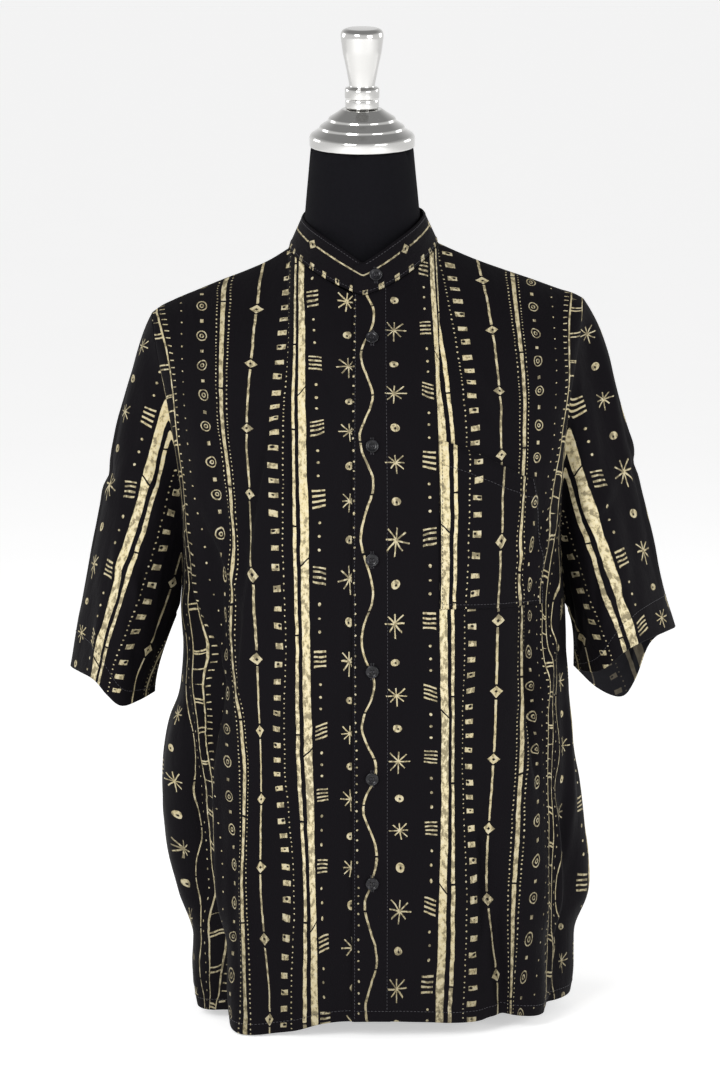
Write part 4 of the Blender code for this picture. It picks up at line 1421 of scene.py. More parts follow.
@dataclass(frozen=True)
class StripePrint:
    """The print: upright columns of plain strokes, repeated across the cloth. Sizes are millimetres.

    It is read at a place across the cloth, out from the wavy line, and a run along it. Each column
    starts at its own run and repeats at its own even pitch, and its method returns its mask from 0 to 1.
    """

    place: Term
    run: Term
    repeat: float = 252.0
    row_pitch: float = 69.6
    wave_pitch: float = 88.0
    squares_pitch: float = 15.9
    rung_pitch: float = 17.0
    star_start: float = 41.0
    bars_start: float = 44.0
    squares_start: float = 6.0
    chain_start: float = 113.0
    rings_start: float = 7.0
    star_place: float = 25.0
    bars_place: float = 56.0
    wide_place: float = 69.7
    thin_place: float = 78.9
    squares_place: float = 98.5
    chain_place: float = 122.5
    dotted_place: float = 150.0
    rings_place: float = 171.0
    rail_places: tuple[float, float] = (212.0, 228.0)
    fine_share: float = 0.78

    def column(self, at: float) -> Term:
        """Distance from a column that is repeated across the cloth."""
        return (self.place - at).wrap(self.repeat)

    def wave(self) -> Term:
        """A wavy line, broken by a small gap at each half wave."""
        off = (self.run * (2 * pi / self.wave_pitch) + 3.0).sine() * 6.0
        line = (self.column(-2.4) - off).inside(1.05)
        return line * (1 - (self.run - 9.0).wrap(self.wave_pitch / 2 + 5.0).inside(0.8))

    def stars(self) -> Term:
        """Eight-rayed stars, with a round dot that has a dark speck half way between them."""
        d = self.column(self.star_place)
        above = self.run - self.star_start
        v = above.wrap(self.row_pitch)
        wobble = (above.cell(self.row_pitch) * 2.4).sine()
        radius = d.root_with(v)
        turn = v.math("ARCTAN2", d) + wobble * 0.10
        ray = turn.wrap(pi / 4)
        reach = ((turn * 3.0 + wobble).sine() * 1.5 + 9.9) + wobble * 1.0
        star = (radius * ray.sine()).inside(0.60) * (reach - radius).math("GREATER_THAN", 0.0)
        between = (above - self.row_pitch / 2).wrap(self.row_pitch)
        dot = d.root_with(between * 1.1)
        speck = (d - 0.5).root_with(between + 0.6).inside(1.15, 0.8)
        return star.greatest(dot.inside(4.1) * (1 - speck))

    def bars(self) -> Term:
        """Stacks of four short slanted bars, with three small dots between the stacks."""
        d = self.column(self.bars_place)
        above = self.run - self.bars_start
        v = above.wrap(self.row_pitch)
        slant = (above.cell(self.row_pitch) * 1.9).sine() * 0.16
        tilted = v + d * (slant + 0.10)
        bar = (tilted + 2.15).wrap(4.3).inside(0.85) * tilted.inside(8.2) * d.inside(6.3)
        between = (above - self.row_pitch / 2).wrap(self.row_pitch)
        dot = d.root_with(between.wrap(12.6)).inside(1.35) * between.inside(18.0)
        return bar.greatest(dot)

    def wide(self) -> Term:
        """A wide band with slanted cuts, and a thin band beside it with level cuts."""
        d = self.column(self.wide_place)
        band = d.inside(3.8) * (1 - (self.run + d * 1.1 - 130.0).wrap(171.0).inside(0.95))
        e = self.column(self.thin_place)
        thin = e.inside(1.55) * (1 - (self.run - 40.0).wrap(93.0).inside(0.9))
        return band.greatest(thin)

    def dots(self, at: float, pitch: float, size: float) -> Term:
        """A column of fine dots of one size."""
        return self.column(at).root_with((self.run - at).wrap(pitch)).inside(size)

    def squares(self) -> Term:
        """A column of rounded squares, many with a dark speck."""
        d = self.column(self.squares_place)
        above = self.run - self.squares_start
        v = above.wrap(self.squares_pitch)
        number = above.cell(self.squares_pitch)
        lean = (number * 2.1).sine()
        edge = (abs(d + lean * 0.5) - 1.3).greatest(abs(v + d * 0.06 * lean))
        speck = (d - lean * 1.6).root_with(v * 1.3 - 0.6).inside((number * 3.7).sine() * 1.0 + 0.9, 0.8)
        return edge.inside(2.55) * (1 - speck)

    def chain(self) -> Term:
        """A line of links: a straight stroke broken by diamonds with a dark centre."""
        d = self.column(self.chain_place)
        v = (self.run - self.chain_start).wrap(self.row_pitch)
        corner = abs(d) + abs(v)
        diamond = corner.inside(5.8) * (1 - corner.inside(1.7, 0.9))
        stroke = d.inside(1.0) * (abs(v) - 7.2).math("GREATER_THAN", 0.0)
        return diamond.greatest(stroke)

    def dotted(self) -> Term:
        """A band with a row of small dots close along each of its sides."""
        d = self.column(self.dotted_place)
        band = d.inside(1.95) * (1 - (self.run - 24.0).wrap(103.0).inside(1.0))
        beads = (abs(d) - 5.6).root_with(self.run.wrap(4.3)).inside(0.75)
        return band.greatest(beads)

    def rings(self) -> Term:
        """Circles with a dot inside, and a small square between each pair."""
        d = self.column(self.rings_place)
        above = self.run - self.rings_start
        v = above.wrap(self.row_pitch / 2)
        radius = (d * 1.08).root_with(v)
        ring = (radius - 5.2).inside(0.6).greatest((radius - 1.8).inside(0.6))
        between = (above - self.row_pitch / 4).wrap(self.row_pitch / 2)
        return ring.greatest(abs(d).greatest(abs(between)).inside(1.7)) * 0.85

    def ladder(self) -> Term:
        """Two rails joined by uneven rungs, with a row of short teeth along the inner rail."""
        first, second = self.rail_places
        sway = (self.run * 0.045).sine() * 1.3
        inner = (self.column(first) - sway).inside(0.95)
        outer = (self.column(second) - sway).inside(0.95)
        middle = self.column((first + second) / 2) - sway
        jog = ((self.run / self.rung_pitch).math("FLOOR") * 2.7).sine() * 2.6
        rung = (self.run + middle * 0.12 + jog).wrap(self.rung_pitch).inside(0.8)
        rung = rung * middle.inside((second - first) / 2)
        teeth = (self.column(first - 5.0) - sway).inside(2.3) * self.run.wrap(7.9).inside(0.6)
        return inner.greatest(outer).greatest(rung).greatest(teeth)

    def mask(self) -> Term:
        """The mask of all the columns together, the wide bands strongest."""
        parts = [
            self.stars(),
            self.bars(),
            self.squares(),
            self.chain(),
            self.dotted(),
            self.rings(),
            self.ladder(),
            self.dots(91.0, 5.2, 0.70),
            self.dots(192.0, 13.8, 0.85),
            self.dots(237.4, 9.5, 0.95),
        ]
        whole = self.wave()
        for part in parts:
            whole = whole.greatest(part)
        return (whole * self.fine_share).greatest(self.wide())


@dataclass(frozen=True)
class PrintedCloth:
    """Light woven cloth, near black, with the pale print on its right side."""

    ground: Colour = (0.0038, 0.0032, 0.0043, 1.0)
    pale: Colour = (0.545, 0.455, 0.245, 1.0)
    cream: Colour = (0.600, 0.545, 0.390, 1.0)
    smudge: Colour = (0.135, 0.118, 0.082, 1.0)
    print_share: float = 1.0
    thread_across: float = 0.55
    thread_along: float = 0.50
    slow_pitch: float = 350.0
    name: str = "printed_cotton_face"

    def build(self) -> Material:
        """Make the material."""
        shade = ShaderTree(self.name)
        place, run = shade.cloth_coords()
        drift = shade.noise(shade.vector(place * 0.018, run * 0.022), 1.0, 2.0)
        parts = shade.node("ShaderNodeSeparateColor", {}, {"Color": drift.outputs["Color"]})
        shake = shade.noise(shade.vector(place * 0.13, run * 0.11), 1.0, 1.0)
        tremor = shade.node("ShaderNodeSeparateColor", {}, {"Color": shake.outputs["Color"]})
        sideways = (shade.term(parts.outputs[0]) - 0.5) * 3.2 + (shade.term(tremor.outputs[0]) - 0.5) * 1.1
        upward = (shade.term(parts.outputs[1]) - 0.5) * 16.0 + (shade.term(tremor.outputs[1]) - 0.5) * 1.4
        slow = (run * (2 * pi / self.slow_pitch) - 3.32).math("COSINE") * 7.0
        mask = StripePrint(place + sideways, run - slow + upward).mask()
        patch = shade.term(shade.noise(shade.vector(place * 0.24, run * 0.14), 1.0, 4.0, 0.66).outputs[0])
        broad = shade.term(shade.noise(shade.vector(place * 0.02, run * 0.012), 1.0, 1.0).outputs[0])
        worn = ((patch - 0.48) * 8.5 + (broad - 0.5) * 2.4).math("MINIMUM", 0.78).math("MAXIMUM", 0.0)
        ink = shade.mix(((0.5 - patch) * 4.0 + 0.3).math("ADD", 0.0, clamp=True), self.pale, self.cream)
        ink = shade.mix(worn, ink, self.smudge)
        # Painted shade: the print is dimmed towards the hem, darkest at the bottom, where less light falls.
        painted_shade_low = ((run - 60.0) / 500.0).math("ADD", 0.72, clamp=True)
        base = shade.mix(mask * painted_shade_low * self.print_share, self.ground, ink)
        thread = (place * (2 * pi / self.thread_across)).sine()
        thread = thread * (run * (2 * pi / self.thread_along)).sine()
        crumple = shade.noise(shade.vector(place * 0.045, run * 0.018), 1.0, 4.0, 0.55).outputs[0]
        normal = shade.bump(crumple, 0.004, 0.55)
        normal = shade.bump(thread, 0.00006, 0.25, normal)
        rough = mask * -0.06 + 0.74
        return shade.surface(
            Base_Color=base,
            Roughness=rough,
            Normal=normal,
            Sheen_Weight=0.01,
            Sheen_Roughness=0.4,
            Specular_IOR_Level=0.05,
        )


@dataclass(frozen=True)
class JerseyFinish:
    """Fine matt jersey over the form: small knit columns and a faint mottle."""

    colour: Colour = (0.0035, 0.0034, 0.0044, 1.0)
    light: Colour = (0.0070, 0.0068, 0.0086, 1.0)

    def build(self) -> Material:
        """Make the material."""
        shade = ShaderTree("black_jersey_knit")
        parts = shade.node("ShaderNodeSeparateXYZ", {}, {"Vector": shade.object_coords()})
        x, y, z = (shade.term(parts.outputs[k]) for k in range(3))
        around = y.math("ARCTAN2", x)
        rib = (around * 300.0).sine() * (z * 5200.0).sine()
        grain = shade.noise(shade.object_coords(), 420.0, 3.0, 0.6).outputs[0]
        mottle = shade.term(grain) * 0.9
        base = shade.mix(mottle, self.colour, self.light)
        normal = shade.bump(rib, 0.0002, 0.35)
        normal = shade.bump(grain, 0.0003, 0.30, normal)
        return shade.surface(Base_Color=base, Roughness=0.9, Normal=normal, Specular_IOR_Level=0.05)


@dataclass(frozen=True)
class ChromeFinish:
    """Polished plate with faint turning marks and hazy patches."""

    colour: Colour = (0.62, 0.615, 0.60, 1.0)
    turning_scale: tuple[float, float, float] = (60.0, 60.0, 2600.0)

    def build(self) -> Material:
        """Make the material."""
        shade = ShaderTree("polished_chrome_plate")
        coords = shade.object_coords()
        haze = shade.term(shade.noise(coords, 45.0, 3.0, 0.55).outputs[0])
        sockets = {0: coords, 1: self.turning_scale}
        turned = shade.node("ShaderNodeVectorMath", {"operation": "MULTIPLY"}, sockets)
        marks = shade.noise(turned.outputs[0], 1.0, 2.0).outputs[0]
        normal = shade.bump(marks, 0.00004, 0.25)
        rough = haze * 0.10 + 0.07
        return shade.surface(Base_Color=self.colour, Metallic=1.0, Roughness=rough, Normal=normal)


@dataclass(frozen=True)
class ButtonFinish:
    """Glossy dark plastic with faint swirls."""

    dark: Colour = (0.005, 0.005, 0.006, 1.0)
    light: Colour = (0.018, 0.017, 0.021, 1.0)

    def build(self) -> Material:
        """Make the material."""
        shade = ShaderTree("black_button_plastic")
        swirl = shade.term(shade.noise(shade.object_coords(), 260.0, 2.0, 0.6).outputs[0])
        base = shade.mix((swirl - 0.42).math("MULTIPLY", 2.6, clamp=True), self.dark, self.light)
        return shade.surface(Base_Color=base, Roughness=0.24, Coat_Weight=0.12, Specular_IOR_Level=0.22)


@dataclass(frozen=True)
class ThreadFinish:
    """Spun black thread with a slight twist."""

    colour: Colour = (0.016, 0.015, 0.018, 1.0)
    light: Colour = (0.045, 0.043, 0.050, 1.0)

    def build(self) -> Material:
        """Make the material."""
        shade = ShaderTree("black_sewing_thread")
        twist = shade.noise(shade.object_coords(), 3000.0, 1.0).outputs[0]
        base = shade.mix(twist, self.colour, self.light)
        return shade.surface(Base_Color=base, Roughness=0.62, Normal=shade.bump(twist, 0.0001, 0.4))


@dataclass(frozen=True)
class FloorFinish:
    """Pale matt paper."""

    colour: Colour = (0.86, 0.86, 0.86, 1.0)
    shade_colour: Colour = (0.83, 0.83, 0.83, 1.0)
    glow: float = 0.50

    def build(self) -> Material:
        """Make the material."""
        shade = ShaderTree("pale_floor_paper")
        patch = shade.noise(shade.object_coords(), 3.0, 2.0).outputs[0]
        return shade.surface(
            Base_Color=shade.mix(patch, self.colour, self.shade_colour),
            Roughness=0.85,
            Specular_IOR_Level=0.0,
            Emission_Color=(1.0, 1.0, 1.0, 1.0),
            Emission_Strength=self.glow,
        )


@dataclass
class StitchRun:
    """Rows of stitches: each a small rounded bar laid along the cloth."""

    length: float = 0.0024
    gap: float = 0.0010
    radius: float = 0.00030
    parts: list[Array] = field(default_factory=list)

    def add(self, centres: Array, ways: Array, normals: Array, length: float) -> None:
        """Add stitches at given places.

        Args:
            centres: Middle of each stitch.
            ways: Direction along each stitch.
            normals: Cloth normal at each stitch.
            length: Length of a stitch.
        """
        ways = unit(ways)
        side = unit(np.cross(normals, ways))
        lift = np.cross(ways, side)
        steps = np.array([-0.5, -0.36, 0.36, 0.5]) * length
        wide = np.array([0.35, 1.0, 1.0, 0.35]) * self.radius
        sink = np.array([-0.7, 0.25, 0.25, -0.7]) * self.radius
        corner = np.radians([45.0, 135.0, 225.0, 315.0])
        middle = centres[:, None] + ways[:, None] * steps[None, :, None]
        middle = middle + lift[:, None] * sink[None, :, None]
        rings = (
            middle[:, :, None]
            + side[:, None, None] * (wide[:, None] * np.cos(corner))[None, :, :, None]
            + lift[:, None, None] * (wide[:, None] * np.sin(corner))[None, :, :, None]
        )
        self.parts.append(rings)

    def along(self, path: Array, normals: Array) -> None:
        """Add stitches evenly along a path of points with normals."""
        lengths = lengths_along(path[None], 1)[0]
        pitch = self.length + self.gap
        count = max(int((lengths[-1] - self.gap) / pitch), 1)
        at = (np.arange(count) + 0.5) * lengths[-1] / count
        both = np.concatenate([path, normals], axis=1)
        made = np.stack([np.interp(at, lengths, both[:, k]) for k in range(6)], -1)
        ahead = np.stack([np.interp(at + 0.0008, lengths, path[:, k]) for k in range(3)], -1)
        behind = np.stack([np.interp(at - 0.0008, lengths, path[:, k]) for k in range(3)], -1)
        centres = made[:, :3] + unit(made[:, 3:]) * self.radius * 0.35
        self.add(centres, ahead - behind, unit(made[:, 3:]), self.length)

    def build(self, name: str, finish: Material) -> Object:
        """Make one object of all the stitches.

        Args:
            name: Name of the object.
            finish: Thread finish.

        Returns:
            The object.
        """
        rings = np.concatenate(self.parts)
        count = len(rings)
        ring = quads(4, 4, True)
        ends = np.array([[3, 2, 1, 0], [12, 13, 14, 15]])
        single = np.concatenate([ring, ends])
        faces = (single[None] + 16 * np.arange(count)[:, None, None]).reshape(-1, 4)
        return make_piece(name, rings.reshape(-1, 3), faces, [finish])


def path_at(shell: ClothShell, distance: float, skip: int = 0) -> tuple[Array, Array]:
    """A path up a shell's outer grid at a distance from its first column.

    Args:
        shell: The shell.
        distance: Distance along each row.
        skip: Rows left out at the low end.

    Returns:
        Points and normals.
    """
    lengths = lengths_along(shell.outer, 1)
    wanted = np.full((len(lengths), 1), distance)
    both = np.concatenate([shell.outer, shell.normals], -1)
    made = resample(both, lengths, wanted)[skip:, 0]
    return made[:, :3], made[:, 3:]


@dataclass
class ShirtFinishes:
    """The finishes of the shirt."""

    face: Material
    reverse: Material
    thread: Material
    button: Material


def settle(piece: Object, slot: str, *nodes: str) -> Object:
    """Ride a piece on the part's one body, and let it stand for the given nodes by hiding them.

    Args:
        piece: The piece.
        slot: Not used.
        nodes: The nodes that it stands for.

    Returns:
        The piece.
    """
    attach(piece, "root")
    if nodes:
        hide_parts(*nodes)
    return piece


@dataclass
class Shirt:
    """The shirt: fronts, back, sleeves, collar band, pocket, buttons and stitching."""

    finishes: ShirtFinishes
    wall: float = 0.0011
    band_wall: float = 0.0005
    hem_wall: float = 0.0009
    collar_wall: float = 0.0016
    pieces: list[Object] = field(default_factory=list)
    shells: dict[str, ClothShell] = field(default_factory=dict)

    def __post_init__(self) -> None:
        """Work out the body panels once."""
        panels = BodyPanels()
        self.left = panels.front(Side.LEFT)
        self.right = panels.front(Side.RIGHT)
        self.rear = panels.back()

    def cloth(self, shell: ClothShell, node: str) -> Object:
        """Make a shell's piece, which stands for one of the part's nodes, and note both.

        Args:
            shell: The shell.
            node: Name of the node.

        Returns:
            The piece.
        """
        made = shell.build(self.finishes.face, self.finishes.reverse)
        piece = settle(made, "printed_cotton", node)
        self.shells[node] = shell
        self.pieces.append(piece)
        LOG.info("%s: %d faces", piece.name, len(piece.data.polygons))
        return piece

    def stitching(self, stitches: StitchRun, name: str) -> Object:
        """Make one piece of some stitches and note it."""
        piece = settle(stitches.build(name, self.finishes.thread), "printed_cotton")
        self.pieces.append(piece)
        return piece

    def add_body(self) -> None:
        """Make the two fronts and the back, each with its hem stitching."""
        rows = (
            ("front_left", self.left, 1.0, (0.345, 0.735), 0.225, True),
            ("front_right", self.right, -1.0, (0.345, 0.735), 0.225, True),
            ("back", self.rear, 1.0, (0.640, 0.760), 0.430, False),
        )
        for name, panel, outward, flat, area, banded in rows:
            wall = np.full(panel.grid.shape[:2], self.wall)
            if banded:
                wall = wall + self.band_wall * before(lengths_along(panel.grid, 1), BAND_LINE, 0.0016)
            inset = self.hem_wall * before(lengths_along(panel.grid, 0), HEM_LINE, 0.0018)
            shell = ClothShell(f"{name}_cloth", panel.grid, panel.coords, wall, False, outward, inset)
            piece = self.cloth(shell, name)
            stitches = StitchRun()
            row = HEM_STEPS.index(HEM_LINE)
            stitches.along(shell.outer[row, 2:-2], shell.normals[row, 2:-2])
            if banded:
                stitches.along(*path_at(shell, BAND_LINE - BAND_STITCH_INSET, row + 1))
                stitches.along(*path_at(shell, EDGE_STITCH_LINE, 1))
            thread = self.stitching(stitches, f"{name}_stitching")

    def add_sleeves(self) -> None:
        """Make both sleeves with their turned hems."""
        shapes = (
            SleeveShape(Side.LEFT, SLEEVE_LEFT_HEM, (0.30, 0.0, -0.95), 0.029, 1.1, (0.84, 0.003)),
            SleeveShape(Side.RIGHT, SLEEVE_RIGHT_HEM, (-0.20, 0.0, -0.98), 0.024, 3.4, (1.0, 0.006)),
        )
        for shape in shapes:
            front = self.left if shape.side is Side.LEFT else self.right
            grid, coords = shape.grid(front.grid, self.rear.grid)
            from_hem = lengths_along(grid, 0)
            from_hem = from_hem[-1] - from_hem
            inset = self.hem_wall * before(from_hem, SLEEVE_HEM_LINE, 0.0020)
            name = f"sleeve_{shape.side.word}"
            outward = -1.0 * shape.side.value
            shell = ClothShell(f"{name}_cloth", grid, coords, self.wall, True, outward, inset)
            piece = self.cloth(shell, name)
            stitches = StitchRun()
            row = int(np.argmin(np.abs(np.mean(from_hem, axis=1) - SLEEVE_HEM_LINE)))
            loop = np.concatenate([shell.outer[row], shell.outer[row, :1]])
            normals = np.concatenate([shell.normals[row], shell.normals[row, :1]])
            stitches.along(loop, normals)
            thread = self.stitching(stitches, f"{name}_stitching")

    def add_collar(self) -> None:
        """Make the collar band with stitching along its edges."""
        grid, coords = CollarShape().grid()
        shell = ClothShell("collar_band_cloth", grid, coords, self.collar_wall)
        piece = self.cloth(shell, "collar_band")
        stitches = StitchRun()
        stitches.along(shell.outer[-2, 9:-9], shell.normals[-2, 9:-9])
        stitches.along(shell.outer[1, 4:-4], shell.normals[1, 4:-4])
        thread = self.stitching(stitches, "collar_band_stitching")

    def add_pocket(self) -> None:
        """Make the chest pocket, stitched round three sides and across its hem."""
        grid, coords = cut_pocket(self.left)
        from_top = lengths_along(grid, 0)
        from_top = from_top[-1] - from_top
        wall = self.wall + self.band_wall * before(from_top, POCKET_HEM_LINE, 0.0020)
        shell = ClothShell("pocket_cloth", grid, coords, wall)
        piece = self.cloth(shell, "pocket")
        stitches = StitchRun()
        outer, normals = shell.outer, shell.normals
        route = [(slice(None, None, -1), 1), (1, slice(1, -1)), (slice(None), -2)]
        stitches.along(*(np.concatenate([part[one] for one in route]) for part in (outer, normals)))
        row = int(np.argmin(np.abs(np.mean(from_top, axis=1) - POCKET_HEM_LINE)))
        stitches.along(outer[row, 1:-1], normals[row, 1:-1])
        thread = self.stitching(stitches, "pocket_stitching")

    def button_spots(self) -> list[tuple[str, Array, Array, Array]]:
        """Find the buttons' places, on the upper front and the collar.

        Returns:
            Name, middle, normal and upward way of each button.
        """
        path, normals = path_at(self.shells["front_left"], OVERLAP_UPPER + BUTTON_SHIFT)
        both = np.concatenate([path, normals], axis=1)
        spots = []
        for number, z in enumerate(BUTTON_HEIGHTS, start=1):
            made = np.array([np.interp(z, path[:, 2], both[:, k]) for k in range(6)])
            after = np.array([np.interp(z + 0.01, path[:, 2], path[:, k]) for k in range(3)])
            spots.append((f"button_{number}", made[:3], unit(made[3:]), unit(after - made[:3])))
        collar = self.shells["collar_band"]
        lengths = lengths_along(collar.outer, 1)[0]
        column = int(np.argmin(np.abs(lengths - COLLAR_BUTTON_PLACE)))
        low, high = collar.outer[0, column], collar.outer[-1, column]
        middle = low * 0.55 + high * 0.45
        normal = unit(collar.normals[len(collar.normals) // 2, column])
        spots.append(("button_collar", middle, normal, unit(high - low)))
        return spots

    def add_buttons(self) -> None:
        """Make the buttons, their threads and the ends of their buttonholes."""
        blank = ButtonBlank().build()
        threads = StitchRun(radius=0.00042)
        holes = StitchRun(radius=0.00022)
        at = np.linspace(-BUTTONHOLE_HALF, BUTTONHOLE_HALF, BUTTONHOLE_STITCHES)
        for name, middle, normal, up in self.button_spots():
            side = unit(np.cross(up, normal))
            turn = np.stack([side, np.cross(normal, side), normal], axis=1)
            foot = middle + normal * BUTTON_FOOT
            mesh = blank.copy()
            places = vectors_of(mesh) @ turn.T + foot
            mesh.vertices.foreach_set("co", places.ravel())
            mesh.materials.clear()
            mesh.materials.append(self.finishes.button)
            finish_mesh(mesh)
            self.pieces.append(settle(new_object(f"{name}_turned", mesh), "black_button", name))
            top = foot + normal * (BUTTON_THICKNESS * 0.66)
            for offset in SEWING_OFFSETS:
                centre = top + side * offset
                threads.add(centre[None], turn[:, 1][None], normal[None], SEWING_LENGTH)
                centres = middle + turn[:, 1] * at[:, None] + side * offset + normal * 0.0001
                ways = np.broadcast_to(side, centres.shape)
                normals = np.broadcast_to(normal, centres.shape)
                holes.add(centres, ways, normals, BUTTONHOLE_STITCH_LENGTH)
        bpy.data.meshes.remove(blank)
        self.stitching(threads, "button_threads")
        self.stitching(holes, "buttonhole_stitching")


@dataclass(frozen=True)
class ButtonBlank:
    """A turned button with a raised rim, a dished middle and four holes."""

    radius: float = BUTTON_RADIUS
    thick: float = BUTTON_THICKNESS
    sides: int = 48
    hole_radius: float = 0.00075
    hole_step: float = 0.00125

    def profile(self) -> Array:
        """Half section as radius and height, from the middle of the top round to the middle below."""
        r, t = self.radius, self.thick
        return np.array([
            (0.0, t * 0.60), (r * 0.40, t * 0.61), (r * 0.60, t * 0.64), (r * 0.70, t * 0.78),
            (r * 0.77, t * 0.93), (r * 0.84, t), (r * 0.91, t * 0.97), (r * 0.97, t * 0.84),
            (r, t * 0.62), (r * 0.975, t * 0.34), (r * 0.90, t * 0.12), (r * 0.80, 0.0), (0.0, 0.0),
        ])

    def build(self) -> Mesh:
        """Turn the section about +Z, cut the holes, and return the mesh."""
        body = lathe("button_blank", self.profile(), self.sides, [])
        cutters = []
        for x in (-self.hole_step, self.hole_step):
            for y in (-self.hole_step, self.hole_step):
                bpy.ops.mesh.primitive_cylinder_add(
                    vertices=14, radius=self.hole_radius, depth=self.thick * 4, location=(x, y, 0)
                )
                cutters.append(bpy.context.object)
        for cutter in cutters:
            cut = body.modifiers.new("Hole", "BOOLEAN")
            cut.operation = "DIFFERENCE"
            cut.solver = "EXACT"
            cut.object = cutter
        graph = bpy.context.evaluated_depsgraph_get()
        mesh = bpy.data.meshes.new_from_object(body.evaluated_get(graph))
        for obj in [body, *cutters]:
            bpy.data.objects.remove(obj)
        return mesh


def lathe(name: str, profile: Array, sides: int, finishes: Sequence[Material]) -> Object:
    """Turn a half section about +Z: each point sweeps a circle of its own radius and height.

    Args:
        name: Name of the object.
        profile: Radius and height of each point, from the top middle down to the bottom middle.
        sides: Number of sides.
        finishes: Its materials.

    Returns:
        The object, closed, with its poles merged.
    """
    turn = np.linspace(0, 2 * pi, sides, endpoint=False)
    radius, height = profile[:, :1], profile[:, 1:]
    grid = np.stack([radius * np.cos(turn), radius * np.sin(turn), height + 0 * turn], -1)
    faces = quads(len(profile), sides, True)[:, ::-1]
    obj = make_piece(name, grid, faces, finishes)
    shape = bmesh.new()
    shape.from_mesh(obj.data)
    bmesh.ops.remove_doubles(shape, verts=shape.verts, dist=1e-6)
    bmesh.ops.recalc_face_normals(shape, faces=shape.faces)
    shape.to_mesh(obj.data)
    shape.free()
    finish_mesh(obj.data)
    return obj


def rounded(profile: Sequence[tuple[float, float]], radius: float, steps: int = 5) -> Array:
    """Round a section's corners: each is replaced by a short quadratic curve between its two legs.

    Args:
        profile: Corner points, radius and height.
        radius: How far along each leg a curve starts.
        steps: Points of each curve.

    Returns:
        The rounded section.
    """
    points = np.array(profile, float)
    made = [points[:1]]
    f = np.linspace(0, 1, steps)[:, None]
    for before, here, after in zip(points, points[1:], points[2:]):
        back, on = before - here, after - here
        reach = min(radius, np.linalg.norm(back) * 0.45, np.linalg.norm(on) * 0.45)
        a, b = here + unit(back) * reach, here + unit(on) * reach
        made.append((1 - f) ** 2 * a + 2 * f * (1 - f) * here + f**2 * b)
    made.append(points[-1:])
    return np.concatenate(made)


@dataclass
class NeckFittings:
    """The stepped cap on the form's neck and the flared knob on it, leaning forward with the neck."""

    finish: Material
    sides: int = 144

    cap_profile: tuple = (
        (0.0, 0.0360), (0.0195, 0.0360), (0.0228, 0.0335), (0.0322, 0.0275), (0.0330, 0.0245),
        (0.0408, 0.0195), (0.0416, 0.0165), (0.0492, 0.0120), (0.0508, 0.0095), (0.0508, 0.0), (0.0, 0.0),
    )
    knob_profile: tuple = (
        (0.0, 0.0770), (0.0160, 0.0770), (0.0200, 0.0745), (0.0208, 0.0700), (0.0188, 0.0545),
        (0.0150, 0.0370), (0.0121, 0.0210), (0.0160, 0.0200), (0.0167, 0.0185), (0.0167, 0.0105),
        (0.0156, 0.0092), (0.0162, 0.0078), (0.0162, 0.0), (0.0, 0.0),
    )

    def lean(self, obj: Object, foot: Array) -> None:
        """Tilt a turned piece's mesh forward about X and set it on its foot."""
        turn = math.radians(NECK_LEAN_DEG)
        x, y, z = vectors_of(obj.data).T
        back = y * math.cos(turn) - z * math.sin(turn)
        up = y * math.sin(turn) + z * math.cos(turn)
        tilted = np.stack([x, back, up], -1)
        obj.data.vertices.foreach_set("co", (tilted + foot).ravel())
        obj.data.update()

    def build(self) -> None:
        """Make the cap and the knob."""
        turn = math.radians(NECK_LEAN_DEG)
        axis = np.array([0.0, -math.sin(turn), math.cos(turn)])
        foot = np.array([0.0, 0.0, NECK_TOP_Z]) + axis * SEAM_GAP
        cap = lathe("neck_cap_plate", rounded(self.cap_profile, 0.0012), self.sides, [self.finish])
        self.lean(cap, foot)
        settle(cap, "polished_chrome", "neck_cap")
        knob = lathe("neck_knob_turned", rounded(self.knob_profile, 0.0022), self.sides, [self.finish])
        self.lean(knob, foot + axis * (self.cap_profile[0][1] + SEAM_GAP))
        settle(knob, "polished_chrome", "neck_knob")


@dataclass
class TorsoForm:
    """The form under the shirt: the solid's own skin, made smooth and covered in jersey."""

    finish: Material
    draw_in: float = 0.0005
    bare_from: float = 0.775
    foot_to: float = 0.004

    def build(self) -> Object:
        """Copy the solid's mesh, merge it, turn it to quads, smooth it and draw it in a little.

        Returns:
            The form's piece.
        """
        mesh = bpy.data.objects["form"].data.copy()
        mesh.name = "form_jersey"
        mesh.materials.clear()
        mesh.materials.append(self.finish)
        shape = bmesh.new()
        shape.from_mesh(mesh)
        bmesh.ops.remove_doubles(shape, verts=shape.verts, dist=1e-5)
        bmesh.ops.join_triangles(
            shape, faces=shape.faces, angle_face_threshold=1.2, angle_shape_threshold=1.2
        )
        shape.to_mesh(mesh)
        shape.free()
        obj = new_object("form_jersey", mesh)
        round_off = obj.modifiers.new("Smooth", "SUBSURF")
        round_off.levels = 2
        round_off.render_levels = 2
        graph = bpy.context.evaluated_depsgraph_get()
        made = bpy.data.meshes.new_from_object(obj.evaluated_get(graph))
        obj.modifiers.clear()
        obj.data = made
        places = vectors_of(made)
        height = places[:, 2:]
        hidden = ease((self.bare_from - height) / 0.02) * ease((height - self.foot_to) / 0.02)
        drawn = places - vectors_of(made, "normal") * self.draw_in * hidden
        made.vertices.foreach_set("co", drawn.ravel())
        finish_mesh(made)
        return settle(obj, "black_jersey", "form")


